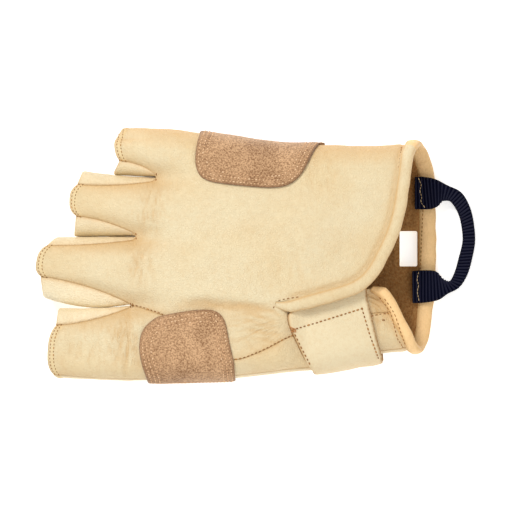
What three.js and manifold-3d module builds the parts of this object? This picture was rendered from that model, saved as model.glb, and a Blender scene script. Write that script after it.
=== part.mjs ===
import * as THREE from 'three';
import { mergeVertices } from 'three/addons/utils/BufferGeometryUtils.js';
import Module from 'manifold-3d';

// Right-hand fingerless leather rope glove, lying palm down, in millimetres.
// +X runs from the fingers to the wrist, +Y to the pinky side, +Z to the back of the hand.
// The floor is z = 0, under the suede palm patch.

const wasm = await Module();
wasm.setup();

// Driving dimensions
const LEATHER = 1.5;
const SUEDE = 1.3;
const TAB_LEATHER = 1.8;
const SEAM_GAP = 0.3;
// Each panel's draw-back from a seam: half the gap, and a little for the bend of the leather
const SEAM_TRIM = SEAM_GAP / 2 + 0.1;
const PATCH_GAP = 0.35;
// Patches are first made this far into the leather, then cut back to the gap
const PATCH_SINK = 0.4;
const PALM_LIFT = SUEDE + PATCH_GAP;
const EDGE_ROUND = 10;
const FLAP_STACK = 6;
const BINDING_HEIGHT = 3.4;
const BINDING_GAP = 0.4;

const COLOURS = {
  grain: 0xeddcb1,
  grainDeep: 0xe6cb9d,
  suede: 0xc69f78,
  webbing: 0x0a0c1c,
  hook: 0x2a2622,
};

const radians = THREE.MathUtils.degToRad;
const lerp = THREE.MathUtils.lerp;
const clamp = THREE.MathUtils.clamp;
const ease = (t) => {
  const s = clamp(t, 0, 1);
  return s * s * (3 - 2 * s);
};

// A table's column at x: a smooth curve through its rows, level past both ends.
function column(rows, key, x, name) {
  const last = rows.length - 1;
  if (x <= rows[0][key]) return rows[0][name];
  if (x >= rows[last][key]) return rows[last][name];
  let i = 0;
  while (x > rows[i + 1][key]) i += 1;
  const slope = (a, b) => (rows[b][name] - rows[a][name]) / (rows[b][key] - rows[a][key]);
  const here = slope(i, i + 1);
  const before = i > 0 ? slope(i - 1, i) : here;
  const after = i + 1 < last ? slope(i + 1, i + 2) : here;
  const m0 = before * here > 0 ? (before + here) / 2 : 0;
  const m1 = after * here > 0 ? (after + here) / 2 : 0;
  const h = rows[i + 1][key] - rows[i][key];
  const t = (x - rows[i][key]) / h;
  const a = rows[i][name];
  const b = rows[i + 1][name];
  return a * (1 + 2 * t) * (1 - t) ** 2 + m0 * h * t * (1 - t) ** 2
    + b * t * t * (3 - 2 * t) + m1 * h * t * t * (t - 1);
}

// A curve through three points at s = 0, 1/2 and 1.
function arch(a, b, c, s) {
  return a * (1 - s) * (1 - 2 * s) + 4 * b * s * (1 - s) + c * s * (2 * s - 1);
}

// Outline seen from above: pinky edge, index edge, and the seam between the back and index panels
const OUTLINE = [
  { x: -92, pinky: 58.5, index: -56.5, seam: -22.8 },
  { x: -61, pinky: 58.5, index: -57.4, seam: -22.8 },
  { x: -46, pinky: 58.6, index: -57.6, seam: -26.2 },
  { x: -35, pinky: 57.2, index: -57.1, seam: -31.0 },
  { x: -22, pinky: 55.2, index: -56.9, seam: -39.5 },
  { x: -10, pinky: 53.8, index: -56.2, seam: -48.0 },
  { x: 2, pinky: 51.9, index: -54.8, seam: -44.3 },
  { x: 16, pinky: 50.5, index: -53.2, seam: -37.4 },
  { x: 34, pinky: 50.8, index: -52.3, seam: -32.2 },
  { x: 46, pinky: 50.6, index: -50.0, seam: -29.2 },
  { x: 58, pinky: 50.7, index: -45.4, seam: -27.0 },
  { x: 68, pinky: 51.6, index: -44.2, seam: -26.0 },
  { x: 82, pinky: 52.0, index: -43.6, seam: -26.0 },
];

// Heights along the glove: top surface at the pinky side, middle and index side, the level of
// the widest line on each side, and the underside above the tucked thumb
const HEIGHTS = [
  { x: -95, pinkyTop: 19, middleTop: 25, indexTop: 30, pinkySide: 9, indexSide: 19, overThumb: 9 },
  { x: -60, pinkyTop: 21, middleTop: 28, indexTop: 35, pinkySide: 10, indexSide: 25, overThumb: 16 },
  { x: -30, pinkyTop: 23, middleTop: 31, indexTop: 37, pinkySide: 11, indexSide: 26, overThumb: 16 },
  { x: 0, pinkyTop: 25, middleTop: 33, indexTop: 38, pinkySide: 12, indexSide: 26, overThumb: 16 },
  { x: 20, pinkyTop: 26, middleTop: 33, indexTop: 37, pinkySide: 12, indexSide: 25, overThumb: 16 },
  { x: 45, pinkyTop: 26, middleTop: 31, indexTop: 33, pinkySide: 13, indexSide: 17, overThumb: 5 },
  { x: 60, pinkyTop: 25.5, middleTop: 30, indexTop: 30, pinkySide: 13, indexSide: 14, overThumb: 3 },
  { x: 85, pinkyTop: 25, middleTop: 29, indexTop: 28, pinkySide: 13, indexSide: 13, overThumb: 3 },
];

// Where neighbouring fingers part, and how far the leather dips there
const CROTCHES = [
  { x: -46.2, y: 36.0, dip: 4.5 },
  { x: -55.6, y: 8.7, dip: 5.0 },
  { x: -57.8, y: -23.1, dip: 5.0 },
];
const DIP_LENGTH = 13;
const DIP_WIDTH = 5.5;
// How much further to the wrist a crotch lies on the palm, and half way down its web
const PALM_CROTCH = 0.4;
const WEB_HOLLOW = 0.6;

// Broad dents and swells of the back
const DENTS = [
  { x: -17, y: -25, reachX: 24, reachY: 5, depth: 2.0 },
  { x: -54, y: -44, reachX: 3.5, reachY: 12, depth: 1.0 },
  { x: 6, y: -35, reachX: 9, reachY: 7, depth: 1.2 },
  { x: -40, y: 46, reachX: 10, reachY: 8, depth: -0.8 },
  { x: 20, y: 18, reachX: 26, reachY: 20, depth: -1.0 },
];

// Finger fronts and the widest lines of their sides, each at the tip, half way and the crotch
const FINGERS = [
  {
    name: 'pinky', top: 16.5, tipBulge: -2.4,
    upperX: [-64.2, -55.5, -47.7], upperY: [53.6, 53.8, 53.6],
    lowerX: [-61.4, -53.9, -47.4], lowerY: [43.6, 41.4, 37.7],
    upperWideX: [-61.8, -54.6, -47.7], upperWideY: [58.5, 58.8, 58.6],
    lowerWideX: [-64.9, -55.5, -47.0], lowerWideY: [37.0, 36.6, 36.3],
  },
  {
    name: 'ring', top: 19.5, tipBulge: -3.6,
    upperX: [-81.8, -64.8, -47.6], upperY: [32.7, 32.5, 34.3],
    lowerX: [-82.4, -69.5, -56.8], lowerY: [18.0, 15.2, 10.1],
    upperWideX: [-79.6, -63.0, -47.0], upperWideY: [38.1, 36.2, 35.7],
    lowerWideX: [-83.3, -69.5, -56.4], lowerWideY: [8.9, 8.8, 9.0],
  },
  {
    name: 'middle', top: 22.5, tipBulge: -3.2,
    upperX: [-96.4, -76.5, -56.6], upperY: [4.6, 5.2, 7.3],
    lowerX: [-98.6, -77.6, -59.2], lowerY: [-9.9, -14.6, -22.1],
    upperWideX: [-92.7, -74.6, -56.3], upperWideY: [7.9, 8.2, 8.4],
    lowerWideX: [-97.1, -78.4, -58.8], lowerWideY: [-19.5, -24.0, -22.9],
  },
  {
    name: 'index', top: 28.0, tipBulge: -3.0,
    upperX: [-91.4, -75.5, -59.1], upperY: [-32.2, -29.6, -24.1],
    lowerX: [-92.8, -75.1, -57.8], lowerY: [-55.0, -56.6, -57.1],
    upperWideX: [-90.4, -74.6, -58.8], upperWideY: [-24.8, -24.8, -23.5],
    lowerWideX: [-91.8, -75.0, -57.8], lowerWideY: [-56.5, -57.2, -57.8],
  },
];
// How far the front bends down at its edges: at the hand's own sides and between fingers
const EDGE_DROP = { outer: 3.0, inner: 1.2 };
const UNDER_BULGE = -1.5;
// How much shorter than its front the underside of a finger is
const UNDER_SHORT = 1.0;

// How the front of each finger is divided from its pinky-side edge to its index-side edge
const FRONT_STEPS = [0, 0.25, 0.5, 0.75, 1];
const INDEX_FRONT_STEPS = [0, 0.27, 0.52, 0.76, 0.91, 1];
const FINGER_STATIONS = 5;
const SIDE_STEPS = 4;

// The slit between the closing flap and the thumb-side cuff ends here
const SLIT_END = { x: 9, y: -21.5 };
const BACK_STATIONS = 8;
const CUFF_STATIONS = 8;

// Edge of the flap inside its binding, from the slit's end round to the pinky edge
const FLAP_EDGE = [
  { t: 0, x: 9, y: -21.5 }, { t: 0.1, x: 17, y: -20.6 }, { t: 0.25, x: 31.7, y: -16.9 },
  { t: 0.4, x: 45.2, y: -12.4 }, { t: 0.5, x: 51.5, y: -7.0 }, { t: 0.6, x: 55.8, y: 0.5 },
  { t: 0.7, x: 59.4, y: 8.0 }, { t: 0.8, x: 62.8, y: 17.5 }, { t: 0.9, x: 65.3, y: 31.0 },
  { t: 1, x: 67.6, y: 47.0 },
];
const FLAP_CORNER = 0.5;

// Edge of the thumb-side lobe inside its binding, and the slit edge that the flap covers
const LOBE_SLIT = [
  { t: 0, x: 9, y: -21.5 }, { t: 0.125, x: 15, y: -24.4 }, { t: 0.35, x: 26, y: -21.5 },
  { t: 1, x: 53.2, y: -15.3 },
];
const LOBE_EDGE = [
  { t: 0, x: 53.2, y: -15.3 }, { t: 0.2, x: 57.7, y: -18.9 }, { t: 0.4, x: 60.9, y: -23.4 },
  { t: 0.6, x: 63.5, y: -29.5 }, { t: 0.8, x: 66.7, y: -35.0 }, { t: 1, x: 70.6, y: -43.1 },
];
// Place of the panels' seam along the lobe's edge, and where the lobe turns towards its edge
const LOBE_SEAM = 0.5;
const LOBE_TURN = 0.6;

// Edge of the palm side of the cuff inside its binding, by distance from the index side
const PALM_EDGE = [
  { y: -45, x: 72.6 }, { y: -38, x: 74.2 }, { y: -28, x: 75.2 }, { y: -6, x: 76.3 },
  { y: 25, x: 76.3 }, { y: 38, x: 75.6 }, { y: 50, x: 72.0 },
];
const CUFF_X = 70;

const outline = (x, name) => column(OUTLINE, 'x', x, name);
const level = (x, name) => column(HEIGHTS, 'x', x, name);

// How far the section has risen, 0 at its widest line and 1 from EDGE_ROUND inwards.
function roundOff(distance) {
  const d = clamp(distance / EDGE_ROUND, 0, 1);
  return Math.sqrt(1 - (1 - d) ** 2);
}

function crown(x, y) {
  const across = clamp((outline(x, 'pinky') - y) / (outline(x, 'pinky') - outline(x, 'index')), 0, 1);
  let z = arch(level(x, 'pinkyTop'), level(x, 'middleTop'), level(x, 'indexTop'), across);
  for (const c of CROTCHES) {
    const along = x > c.x ? Math.exp(-(((x - c.x) / DIP_LENGTH) ** 2)) : 1;
    z -= c.dip * along * Math.exp(-(((y - c.y) / DIP_WIDTH) ** 2));
  }
  for (const d of DENTS) {
    z -= d.depth * Math.exp(-(((x - d.x) / d.reachX) ** 2) - ((y - d.y) / d.reachY) ** 2);
  }
  return z;
}

function topLevel(x, y, sunk = 0) {
  const z = crown(x, y) - sunk;
  const nearPinky = 1 - roundOff(outline(x, 'pinky') - y);
  const nearIndex = 1 - roundOff(y - outline(x, 'index'));
  return z - nearPinky * (z - level(x, 'pinkySide')) - nearIndex * (z - level(x, 'indexSide'));
}

const THUMB_SLOPE = { foot: -7, head: -23 };

function floorLevel(x, y) {
  const over = ease((THUMB_SLOPE.foot - y) / (THUMB_SLOPE.foot - THUMB_SLOPE.head));
  return lerp(PALM_LIFT, level(x, 'overThumb'), over);
}

function bottomLevel(x, y) {
  const z = floorLevel(x, y);
  const nearPinky = 1 - roundOff(outline(x, 'pinky') - y);
  const nearIndex = 1 - roundOff(y - outline(x, 'index'));
  return z + nearPinky * (level(x, 'pinkySide') - z) + nearIndex * (level(x, 'indexSide') - z);
}

// Points down a side wall, from the top edge over the widest point to the bottom edge.
function sideWall(top, wide, bottom, topAngle, bottomAngle) {
  const points = [];
  for (let m = 0; m <= SIDE_STEPS; m += 1) {
    const angle = radians(lerp(topAngle, -bottomAngle, m / SIDE_STEPS));
    const end = angle >= 0 ? top : bottom;
    const most = radians(angle >= 0 ? topAngle : bottomAngle);
    const inward = (1 - Math.cos(angle)) / (1 - Math.cos(most));
    const rise = Math.sin(Math.abs(angle)) / Math.sin(most);
    points.push([
      lerp(wide[0], end[0], inward), lerp(wide[1], end[1], inward), lerp(wide[2], end[2], rise),
    ]);
  }
  points[0] = top;
  points[SIDE_STEPS] = bottom;
  return points;
}

const PINKY_ANGLES = [60, 60];
const INDEX_ANGLES = [28, 60];
const GUSSET_ANGLES = [80, 75];
const edgeInset = (angle) => EDGE_ROUND * (1 - Math.cos(radians(angle)));
const FINGER_BOTTOM_INSET = 3.5;

// The columns of the ring, from the pinky edge over the back to the index edge: each finger's
// front, with a web of two steps between neighbours
const COLUMNS = [];
FINGERS.forEach((finger, k) => {
  const steps = k === 3 ? INDEX_FRONT_STEPS : FRONT_STEPS;
  finger.first = COLUMNS.length;
  for (const v of steps) COLUMNS.push({ finger: k, v });
  finger.last = COLUMNS.length - 1;
  if (k < 3) COLUMNS.push({ web: k });
});
const LAST = COLUMNS.length - 1;
const SEAM_COLUMN = FINGERS[2].last + 1;
const SLIT_COLUMN = SEAM_COLUMN - 4;

const bottomInset = (k, upper) => {
  if (k === 0 && upper) return edgeInset(PINKY_ANGLES[1]);
  if (k === 3 && !upper) return edgeInset(INDEX_ANGLES[1]);
  return FINGER_BOTTOM_INSET;
};

const three = (values, s) => arch(values[0], values[1], values[2], s);

// Place from above of a column at the crotch row, on the back or on the palm
function crotchPlace(col, palm) {
  if (col.web !== undefined) {
    const c = CROTCHES[col.web];
    return [c.x + (palm ? PALM_CROTCH : 0), c.y];
  }
  const f = FINGERS[col.finger];
  if (!palm) return [lerp(f.upperX[2], f.lowerX[2], col.v), lerp(f.upperY[2], f.lowerY[2], col.v)];
  const upper = f.upperWideY[2] - bottomInset(col.finger, true);
  const lower = f.lowerWideY[2] + bottomInset(col.finger, false);
  return [lerp(f.upperX[2], f.lowerX[2], col.v), lerp(upper, lower, col.v)];
}

const pinkyTopY = (x) => outline(x, 'pinky') - edgeInset(PINKY_ANGLES[0]);
const indexTopY = (x) => outline(x, 'index') + edgeInset(INDEX_ANGLES[0]);
const pinkyBottomY = (x) => outline(x, 'pinky') - edgeInset(PINKY_ANGLES[1]);
const indexBottomY = (x) => outline(x, 'index') + edgeInset(INDEX_ANGLES[1]);

// Back of the hand, between the crotch row and the end of the slit
function backPoint(i, j) {
  const t = i / BACK_STATIONS;
  const start = crotchPlace(COLUMNS[j], false);
  if (i === 0) return [start[0], start[1], topLevel(start[0], start[1])];
  const x = lerp(start[0], SLIT_END.x, t);
  const s = ease(t);
  const share = (y, x0, high, low) => (high(x0) - y) / (high(x0) - low(x0));
  const seamY = (x0) => outline(x0, 'seam');
  let y;
  if (j <= SEAM_COLUMN) {
    const slitShare = share(SLIT_END.y, SLIT_END.x, pinkyTopY, seamY);
    const end = j <= SLIT_COLUMN
      ? slitShare * j / SLIT_COLUMN
      : lerp(slitShare, 1, (j - SLIT_COLUMN) / (SEAM_COLUMN - SLIT_COLUMN));
    const from = share(start[1], start[0], pinkyTopY, seamY);
    y = lerp(pinkyTopY(x), seamY(x), lerp(from, end, s));
  } else {
    const end = (j - SEAM_COLUMN) / (LAST - SEAM_COLUMN);
    const from = share(start[1], start[0], seamY, indexTopY);
    y = lerp(seamY(x), indexTopY(x), lerp(from, end, s));
  }
  return [x, y, topLevel(x, y)];
}

const place = (rows, t) => [column(rows, 't', t, 'x'), column(rows, 't', t, 'y')];

// Closing flap: between the pinky edge and the slit, out to the flap's edge
function flapPoint(i, j) {
  const u = i / CUFF_STATIONS;
  const v = j / SLIT_COLUMN;
  const [leftX, leftY] = backPoint(BACK_STATIONS, j);
  const [rightX, rightY] = place(FLAP_EDGE, lerp(1, FLAP_CORNER, v));
  const [slitX, slitY] = place(FLAP_EDGE, FLAP_CORNER * u);
  const [cornerX, cornerY] = place(FLAP_EDGE, FLAP_CORNER);
  const [pinkyX, pinkyY] = backPoint(BACK_STATIONS, 0);
  const [endX, endY] = place(FLAP_EDGE, 1);
  const alongPinky = pinkyTopY(lerp(pinkyX, endX, u)) - lerp(pinkyY, endY, u);
  const x = lerp(leftX, rightX, u) + v * (slitX - lerp(SLIT_END.x, cornerX, u));
  const alongSlit = slitY - lerp(SLIT_END.y, cornerY, u);
  const y = lerp(leftY, rightY, u) + v * alongSlit + (1 - v) * alongPinky;
  return [x, y, topLevel(x, y)];
}

// How far the strip and lobe lie under the flap
const SINK_LENGTH = 15;
const sunkAt = (x) => FLAP_STACK * ease((x - SLIT_END.x) / SINK_LENGTH);

// Strip below the slit and thumb-side lobe, down to the index edge
function lobePoint(i, j) {
  const u = i / CUFF_STATIONS;
  const turn = ease((u - LOBE_TURN) / (1 - LOBE_TURN));
  const above = (j - SLIT_COLUMN) / (SEAM_COLUMN - SLIT_COLUMN);
  const below = (j - SEAM_COLUMN) / (LAST - SEAM_COLUMN);
  const [leftX, leftY] = backPoint(BACK_STATIONS, j);
  const edgeT = j < SEAM_COLUMN ? LOBE_SEAM * above : lerp(LOBE_SEAM, 1, below);
  const [rightX, rightY] = place(LOBE_EDGE, edgeT);
  const x = lerp(leftX, rightX, u);
  let y = lerp(lerp(outline(x, 'seam'), indexTopY(x), below), rightY, turn);
  if (j === LAST) y = indexTopY(x);
  if (j <= SEAM_COLUMN) {
    const [endX, endY] = place(LOBE_EDGE, LOBE_SEAM);
    const seamY = lerp(outline(lerp(SLIT_END.x, endX, u), 'seam'), endY, turn);
    const seamBend = seamY - lerp(backPoint(BACK_STATIONS, SEAM_COLUMN)[1], endY, u);
    const slitBend = place(LOBE_SLIT, u)[1] - lerp(SLIT_END.y, LOBE_EDGE[0].y, u);
    y = lerp(leftY, rightY, u) + lerp(slitBend, seamBend, above);
  }
  return [x, y, topLevel(x, y, sunkAt(x))];
}

// Palm side, from the crotch row to the cuff
const PALM_STATIONS = BACK_STATIONS + CUFF_STATIONS;

function palmPoint(i, j) {
  const [startX, startY] = crotchPlace(COLUMNS[j], true);
  const wide = pinkyBottomY(startX) - indexBottomY(startX);
  const share = lerp((pinkyBottomY(startX) - startY) / wide, j / LAST, ease(i / BACK_STATIONS));
  const edgeY = lerp(pinkyBottomY(CUFF_X), indexBottomY(CUFF_X), share);
  const edgeX = column(PALM_EDGE, 'y', edgeY, 'x');
  const x = i <= BACK_STATIONS
    ? lerp(startX, SLIT_END.x, i / BACK_STATIONS)
    : lerp(SLIT_END.x, edgeX, (i - BACK_STATIONS) / CUFF_STATIONS);
  const y = lerp(pinkyBottomY(x), indexBottomY(x), share);
  return [x, y, bottomLevel(x, y)];
}

// Front of a finger, s = 0 at the tip and 1 at the crotch row, v = 0 on its pinky side
function fingerTop(k, s, v) {
  const f = FINGERS[k];
  const [joinedX, joinedY] = crotchPlace({ finger: k, v }, false);
  const bulge = f.tipBulge * 4 * v * (1 - v) * (1 - s) ** 2;
  const x = lerp(three(f.upperX, s), three(f.lowerX, s), v) + bulge;
  const y = lerp(three(f.upperY, s), three(f.lowerY, s), v);
  const outer = (k === 0 && v < 0.5) || (k === 3 && v > 0.5);
  const drop = Math.abs(2 * v - 1) ** 3 * (outer ? EDGE_DROP.outer : EDGE_DROP.inner);
  return [x, y, lerp(f.top - drop, topLevel(joinedX, joinedY), ease(s))];
}

function fingerBottom(k, s, v) {
  const f = FINGERS[k];
  const [joinedX, joinedY] = crotchPlace({ finger: k, v }, true);
  const upperY = three(f.upperWideY, s) - bottomInset(k, true);
  const lowerY = three(f.lowerWideY, s) + bottomInset(k, false);
  const tip = (UNDER_SHORT + UNDER_BULGE * 4 * v * (1 - v)) * (1 - s) ** 2;
  const x = lerp(three(f.upperX, s), three(f.lowerX, s), v) + tip;
  const y = lerp(upperY, lowerY, v);
  return [x, y, lerp(floorLevel(x, y), bottomLevel(joinedX, joinedY), ease(s))];
}

// Where the widest line of a tip lies between its underside and its front
const TIP_WIDEST = { pinky: 0.5, index: 0.65, between: 0.5 };

function fingerSide(k, s, upper) {
  const f = FINGERS[k];
  const v = upper ? 0 : 1;
  const top = fingerTop(k, s, v);
  const bottom = fingerBottom(k, s, v);
  const x = three(upper ? f.upperWideX : f.lowerWideX, s);
  const y = three(upper ? f.upperWideY : f.lowerWideY, s);
  if (k === 0 && upper) {
    const wide = [x, y, lerp(lerp(bottom[2], top[2], TIP_WIDEST.pinky), level(x, 'pinkySide'), s)];
    return sideWall(top, wide, bottom, ...PINKY_ANGLES);
  }
  if (k === 3 && !upper) {
    const wide = [x, y, lerp(lerp(bottom[2], top[2], TIP_WIDEST.index), level(x, 'indexSide'), s)];
    return sideWall(top, wide, bottom, ...INDEX_ANGLES);
  }
  const wide = [x, y, lerp(bottom[2], top[2], TIP_WIDEST.between)];
  return sideWall(top, wide, bottom, ...GUSSET_ANGLES);
}

// Side wall of the hand and cuff
function bodySide(i, pinky) {
  if (i === 0) return fingerSide(pinky ? 0 : 3, 1, pinky);
  const j = pinky ? 0 : LAST;
  let top = backPoint(Math.min(i, BACK_STATIONS), j);
  if (i > BACK_STATIONS) top = pinky ? flapPoint(i - BACK_STATIONS, j) : lobePoint(i - BACK_STATIONS, j);
  const bottom = palmPoint(i, j);
  const x = lerp(top[0], bottom[0], 0.5);
  const name = pinky ? 'pinky' : 'index';
  const wide = [x, outline(x, name), level(x, `${name}Side`)];
  return sideWall(top, wide, bottom, ...(pinky ? PINKY_ANGLES : INDEX_ANGLES));
}

// Down the middle of the web between two fingers
function webLine(k, m) {
  const c = CROTCHES[k];
  const top = [c.x, c.y, topLevel(c.x, c.y)];
  const [x, y] = crotchPlace({ web: k }, true);
  const bottom = [x, y, bottomLevel(x, y)];
  const wide = [c.x + WEB_HOLLOW, c.y, lerp(bottom[2], top[2], TIP_WIDEST.between)];
  return sideWall(top, wide, bottom, ...GUSSET_ANGLES)[m];
}

// A surface of tagged quads with shared corners merged
const newSurface = () => ({ points: [], keys: new Map(), faces: [], normals: [] });

function vertexOf(surface, p) {
  const key = p.map((v) => Math.round(v * 1000)).join(',');
  if (!surface.keys.has(key)) {
    surface.keys.set(key, surface.points.length);
    surface.points.push(new THREE.Vector3(...p));
  }
  return surface.keys.get(key);
}

function addGrid(surface, tag, rows, cols, point, flipped = false) {
  for (let i = 0; i < rows; i += 1) {
    for (let j = 0; j < cols; j += 1) {
      const corners = [point(i, j), point(i, j + 1), point(i + 1, j + 1), point(i + 1, j)];
      const quad = corners.map((p) => vertexOf(surface, p));
      if (flipped) quad.reverse();
      surface.faces.push({ tag, quad });
    }
  }
}

// The whole shell of the glove, cut into panels by the tags
const shell = newSurface();
const addPatch = (tag, rows, cols, point, flipped) => addGrid(shell, tag, rows, cols, point, flipped);

const GUSSETS = ['pinky_ring_gusset', 'ring_middle_gusset', 'middle_index_gusset'];

FINGERS.forEach((f, k) => {
  const steps = k === 3 ? INDEX_FRONT_STEPS : FRONT_STEPS;
  const s = (i) => i / FINGER_STATIONS;
  addPatch(k === 3 ? 'index_panel' : 'back_panel', FINGER_STATIONS, steps.length - 1,
    (i, j) => fingerTop(k, s(i), steps[j]));
  addPatch('palm_panel', FINGER_STATIONS, steps.length - 1, (i, j) => fingerBottom(k, s(i), steps[j]), true);
  addPatch(k === 0 ? 'back_panel' : GUSSETS[k - 1], FINGER_STATIONS, SIDE_STEPS,
    (i, m) => fingerSide(k, s(i), true)[m], true);
  addPatch(k === 3 ? 'palm_panel' : GUSSETS[k], FINGER_STATIONS, SIDE_STEPS,
    (i, m) => fingerSide(k, s(i), false)[m]);
  if (k < 3) {
    const lines = [
      (m) => fingerSide(k, 1, false)[m], (m) => webLine(k, m), (m) => fingerSide(k + 1, 1, true)[m],
    ];
    addPatch(GUSSETS[k], 2, SIDE_STEPS, (i, m) => lines[i](m), false);
  }
});

addPatch('back_panel', BACK_STATIONS, SEAM_COLUMN, backPoint);
addPatch('index_panel', BACK_STATIONS, LAST - SEAM_COLUMN, (i, j) => backPoint(i, j + SEAM_COLUMN));
addPatch('back_panel', CUFF_STATIONS, SLIT_COLUMN, flapPoint);
addPatch('back_panel', CUFF_STATIONS, SEAM_COLUMN - SLIT_COLUMN, (i, j) => lobePoint(i, j + SLIT_COLUMN));
addPatch('index_panel', CUFF_STATIONS, LAST - SEAM_COLUMN, (i, j) => lobePoint(i, j + SEAM_COLUMN));
addPatch('palm_panel', PALM_STATIONS, LAST, palmPoint, true);
addPatch('back_panel', PALM_STATIONS, SIDE_STEPS, (i, m) => bodySide(i, true)[m], true);
addPatch('palm_panel', PALM_STATIONS, SIDE_STEPS, (i, m) => bodySide(i, false)[m]);

function surfaceNormals(points, faces) {
  const normals = points.map(() => new THREE.Vector3());
  const a = new THREE.Vector3();
  const b = new THREE.Vector3();
  for (const { quad } of faces) {
    for (let c = 0; c < quad.length; c += 1) {
      const here = points[quad[c]];
      a.subVectors(points[quad[(c + 1) % quad.length]], here);
      b.subVectors(points[quad[(c + quad.length - 1) % quad.length]], here);
      if (a.lengthSq() < 1e-8 || b.lengthSq() < 1e-8) continue;
      const angle = a.angleTo(b);
      normals[quad[c]].addScaledVector(a.cross(b).normalize(), angle);
    }
  }
  return normals.map((n) => n.normalize());
}

shell.normals = surfaceNormals(shell.points, shell.faces);

// A solid wall over some faces of a surface: outer points raised by above, inner points sunk by
// below, borders drawn back by trim where other faces go on and by free where nothing does.
function wallOver(surface, faces, above, below, trim = 0, free = 0) {
  const used = new Map();
  const chosen = new Set(faces);
  for (const { quad } of faces) {
    for (const v of quad) if (!used.has(v)) used.set(v, used.size);
  }
  const edges = new Map();
  for (const { quad } of faces) {
    quad.forEach((v, c) => edges.set(`${v}_${quad[(c + 1) % 4]}`, [v, quad[(c + 1) % 4]]));
  }
  const borders = [...edges.values()].filter(([a, b]) => a !== b && !edges.has(`${b}_${a}`));
  const outside = new Set();
  for (const face of surface.faces) {
    if (chosen.has(face)) continue;
    face.quad.forEach((v, c) => outside.add(`${face.quad[(c + 1) % 4]}_${v}`));
  }
  const shift = new Map();
  for (const [a, b] of borders) {
    const amount = outside.has(`${a}_${b}`) ? trim : free;
    const run = new THREE.Vector3().subVectors(surface.points[b], surface.points[a]);
    for (const v of [a, b]) {
      if (!shift.has(v)) shift.set(v, { inward: new THREE.Vector3(), amount: 0 });
      const entry = shift.get(v);
      entry.inward.add(new THREE.Vector3().crossVectors(surface.normals[v], run).normalize());
      entry.amount = Math.abs(amount) > Math.abs(entry.amount) ? amount : entry.amount;
    }
  }
  const count = used.size;
  const positions = new Float32Array(count * 6);
  for (const [v, n] of used) {
    const base = surface.points[v].clone();
    if (shift.has(v)) base.addScaledVector(shift.get(v).inward.normalize(), shift.get(v).amount);
    base.clone().addScaledVector(surface.normals[v], above).toArray(positions, n * 3);
    base.clone().addScaledVector(surface.normals[v], -below).toArray(positions, (n + count) * 3);
  }
  const triangles = [];
  const tri = (a, b, c) => {
    if (a !== b && b !== c && a !== c) triangles.push(a, b, c);
  };
  for (const { quad } of faces) {
    const [a, b, c, d] = quad.map((v) => used.get(v));
    tri(a, b, c);
    tri(a, c, d);
    tri(a + count, c + count, b + count);
    tri(a + count, d + count, c + count);
  }
  for (const [v, w] of borders) {
    const a = used.get(v);
    const b = used.get(w);
    tri(a, a + count, b + count);
    tri(a, b + count, b);
  }
  return { positions, triangles: new Uint32Array(triangles) };
}

function toSolid({ positions, triangles }) {
  return new wasm.Manifold(new wasm.Mesh({ numProp: 3, vertProperties: positions, triVerts: triangles }));
}

function toGeometry(solid) {
  const mesh = solid.getMesh();
  const geometry = new THREE.BufferGeometry();
  geometry.setAttribute('position', new THREE.BufferAttribute(new Float32Array(mesh.vertProperties), 3));
  geometry.setIndex([...mesh.triVerts]);
  return geometry;
}

const largestBody = (solid) => solid.decompose().sort((a, b) => b.volume() - a.volume())[0];

const group = new THREE.Group();

function addPiece(name, solid, colour, roughness) {
  const material = new THREE.MeshStandardMaterial({ color: colour, roughness, metalness: 0 });
  const mesh = new THREE.Mesh(toGeometry(solid), material);
  mesh.name = name;
  group.add(mesh);
}

// The room that the shell takes, with the gap that other pieces keep to it
const shellRoom = toSolid(wallOver(shell, shell.faces, SEAM_GAP, LEATHER + SEAM_GAP, 0, -SEAM_GAP));
const clearOfShell = (solid) => largestBody(solid.subtract(shellRoom));

// A solid loft through rings of the same number of points, closed by flat ends
function loft(rings) {
  const n = rings[0].length;
  const triangles = [];
  for (let i = 0; i + 1 < rings.length; i += 1) {
    for (let k = 0; k < n; k += 1) {
      const a = i * n + k;
      const b = i * n + ((k + 1) % n);
      triangles.push(a, b, b + n, a, b + n, a + n);
    }
  }
  const end = (rings.length - 1) * n;
  for (let k = 1; k + 1 < n; k += 1) {
    triangles.push(0, k + 1, k, end, end + k, end + k + 1);
  }
  const positions = new Float32Array(rings.flat().flatMap((p) => [p.x, p.y, p.z]));
  const solid = toSolid({ positions, triangles: new Uint32Array(triangles) });
  return solid.volume() > 0 ? solid : toSolid({ positions, triangles: new Uint32Array(triangles.reverse()) });
}

// A sheet between two offsets over a grid of places
function sheet(rows, cols, point, above, below, flipped = false) {
  const surface = newSurface();
  addGrid(surface, 'sheet', rows, cols, point, flipped);
  surface.normals = surfaceNormals(surface.points, surface.faces);
  return toSolid(wallOver(surface, surface.faces, above, below));
}

// An upright block with the given outline from above
function block(points, low, high) {
  const shape = new THREE.Shape(points.map(([x, y]) => new THREE.Vector2(x, y)));
  const geometry = new THREE.ExtrudeGeometry(shape, { depth: high - low, bevelEnabled: false });
  geometry.translate(0, 0, low);
  return fromGeometry(geometry);
}

function fromGeometry(geometry) {
  geometry.deleteAttribute('normal');
  geometry.deleteAttribute('uv');
  const merged = mergeVertices(geometry, 1e-4);
  const positions = new Float32Array(merged.attributes.position.array);
  return toSolid({ positions, triangles: new Uint32Array(merged.index.array) });
}

// Around the pinky edge: from the back, down the side and under the palm
const PINKY_TOP_STEPS = 4;
const PALM_ROWS = [0, 0.25, 0.5, 0.75, 1];

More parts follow.
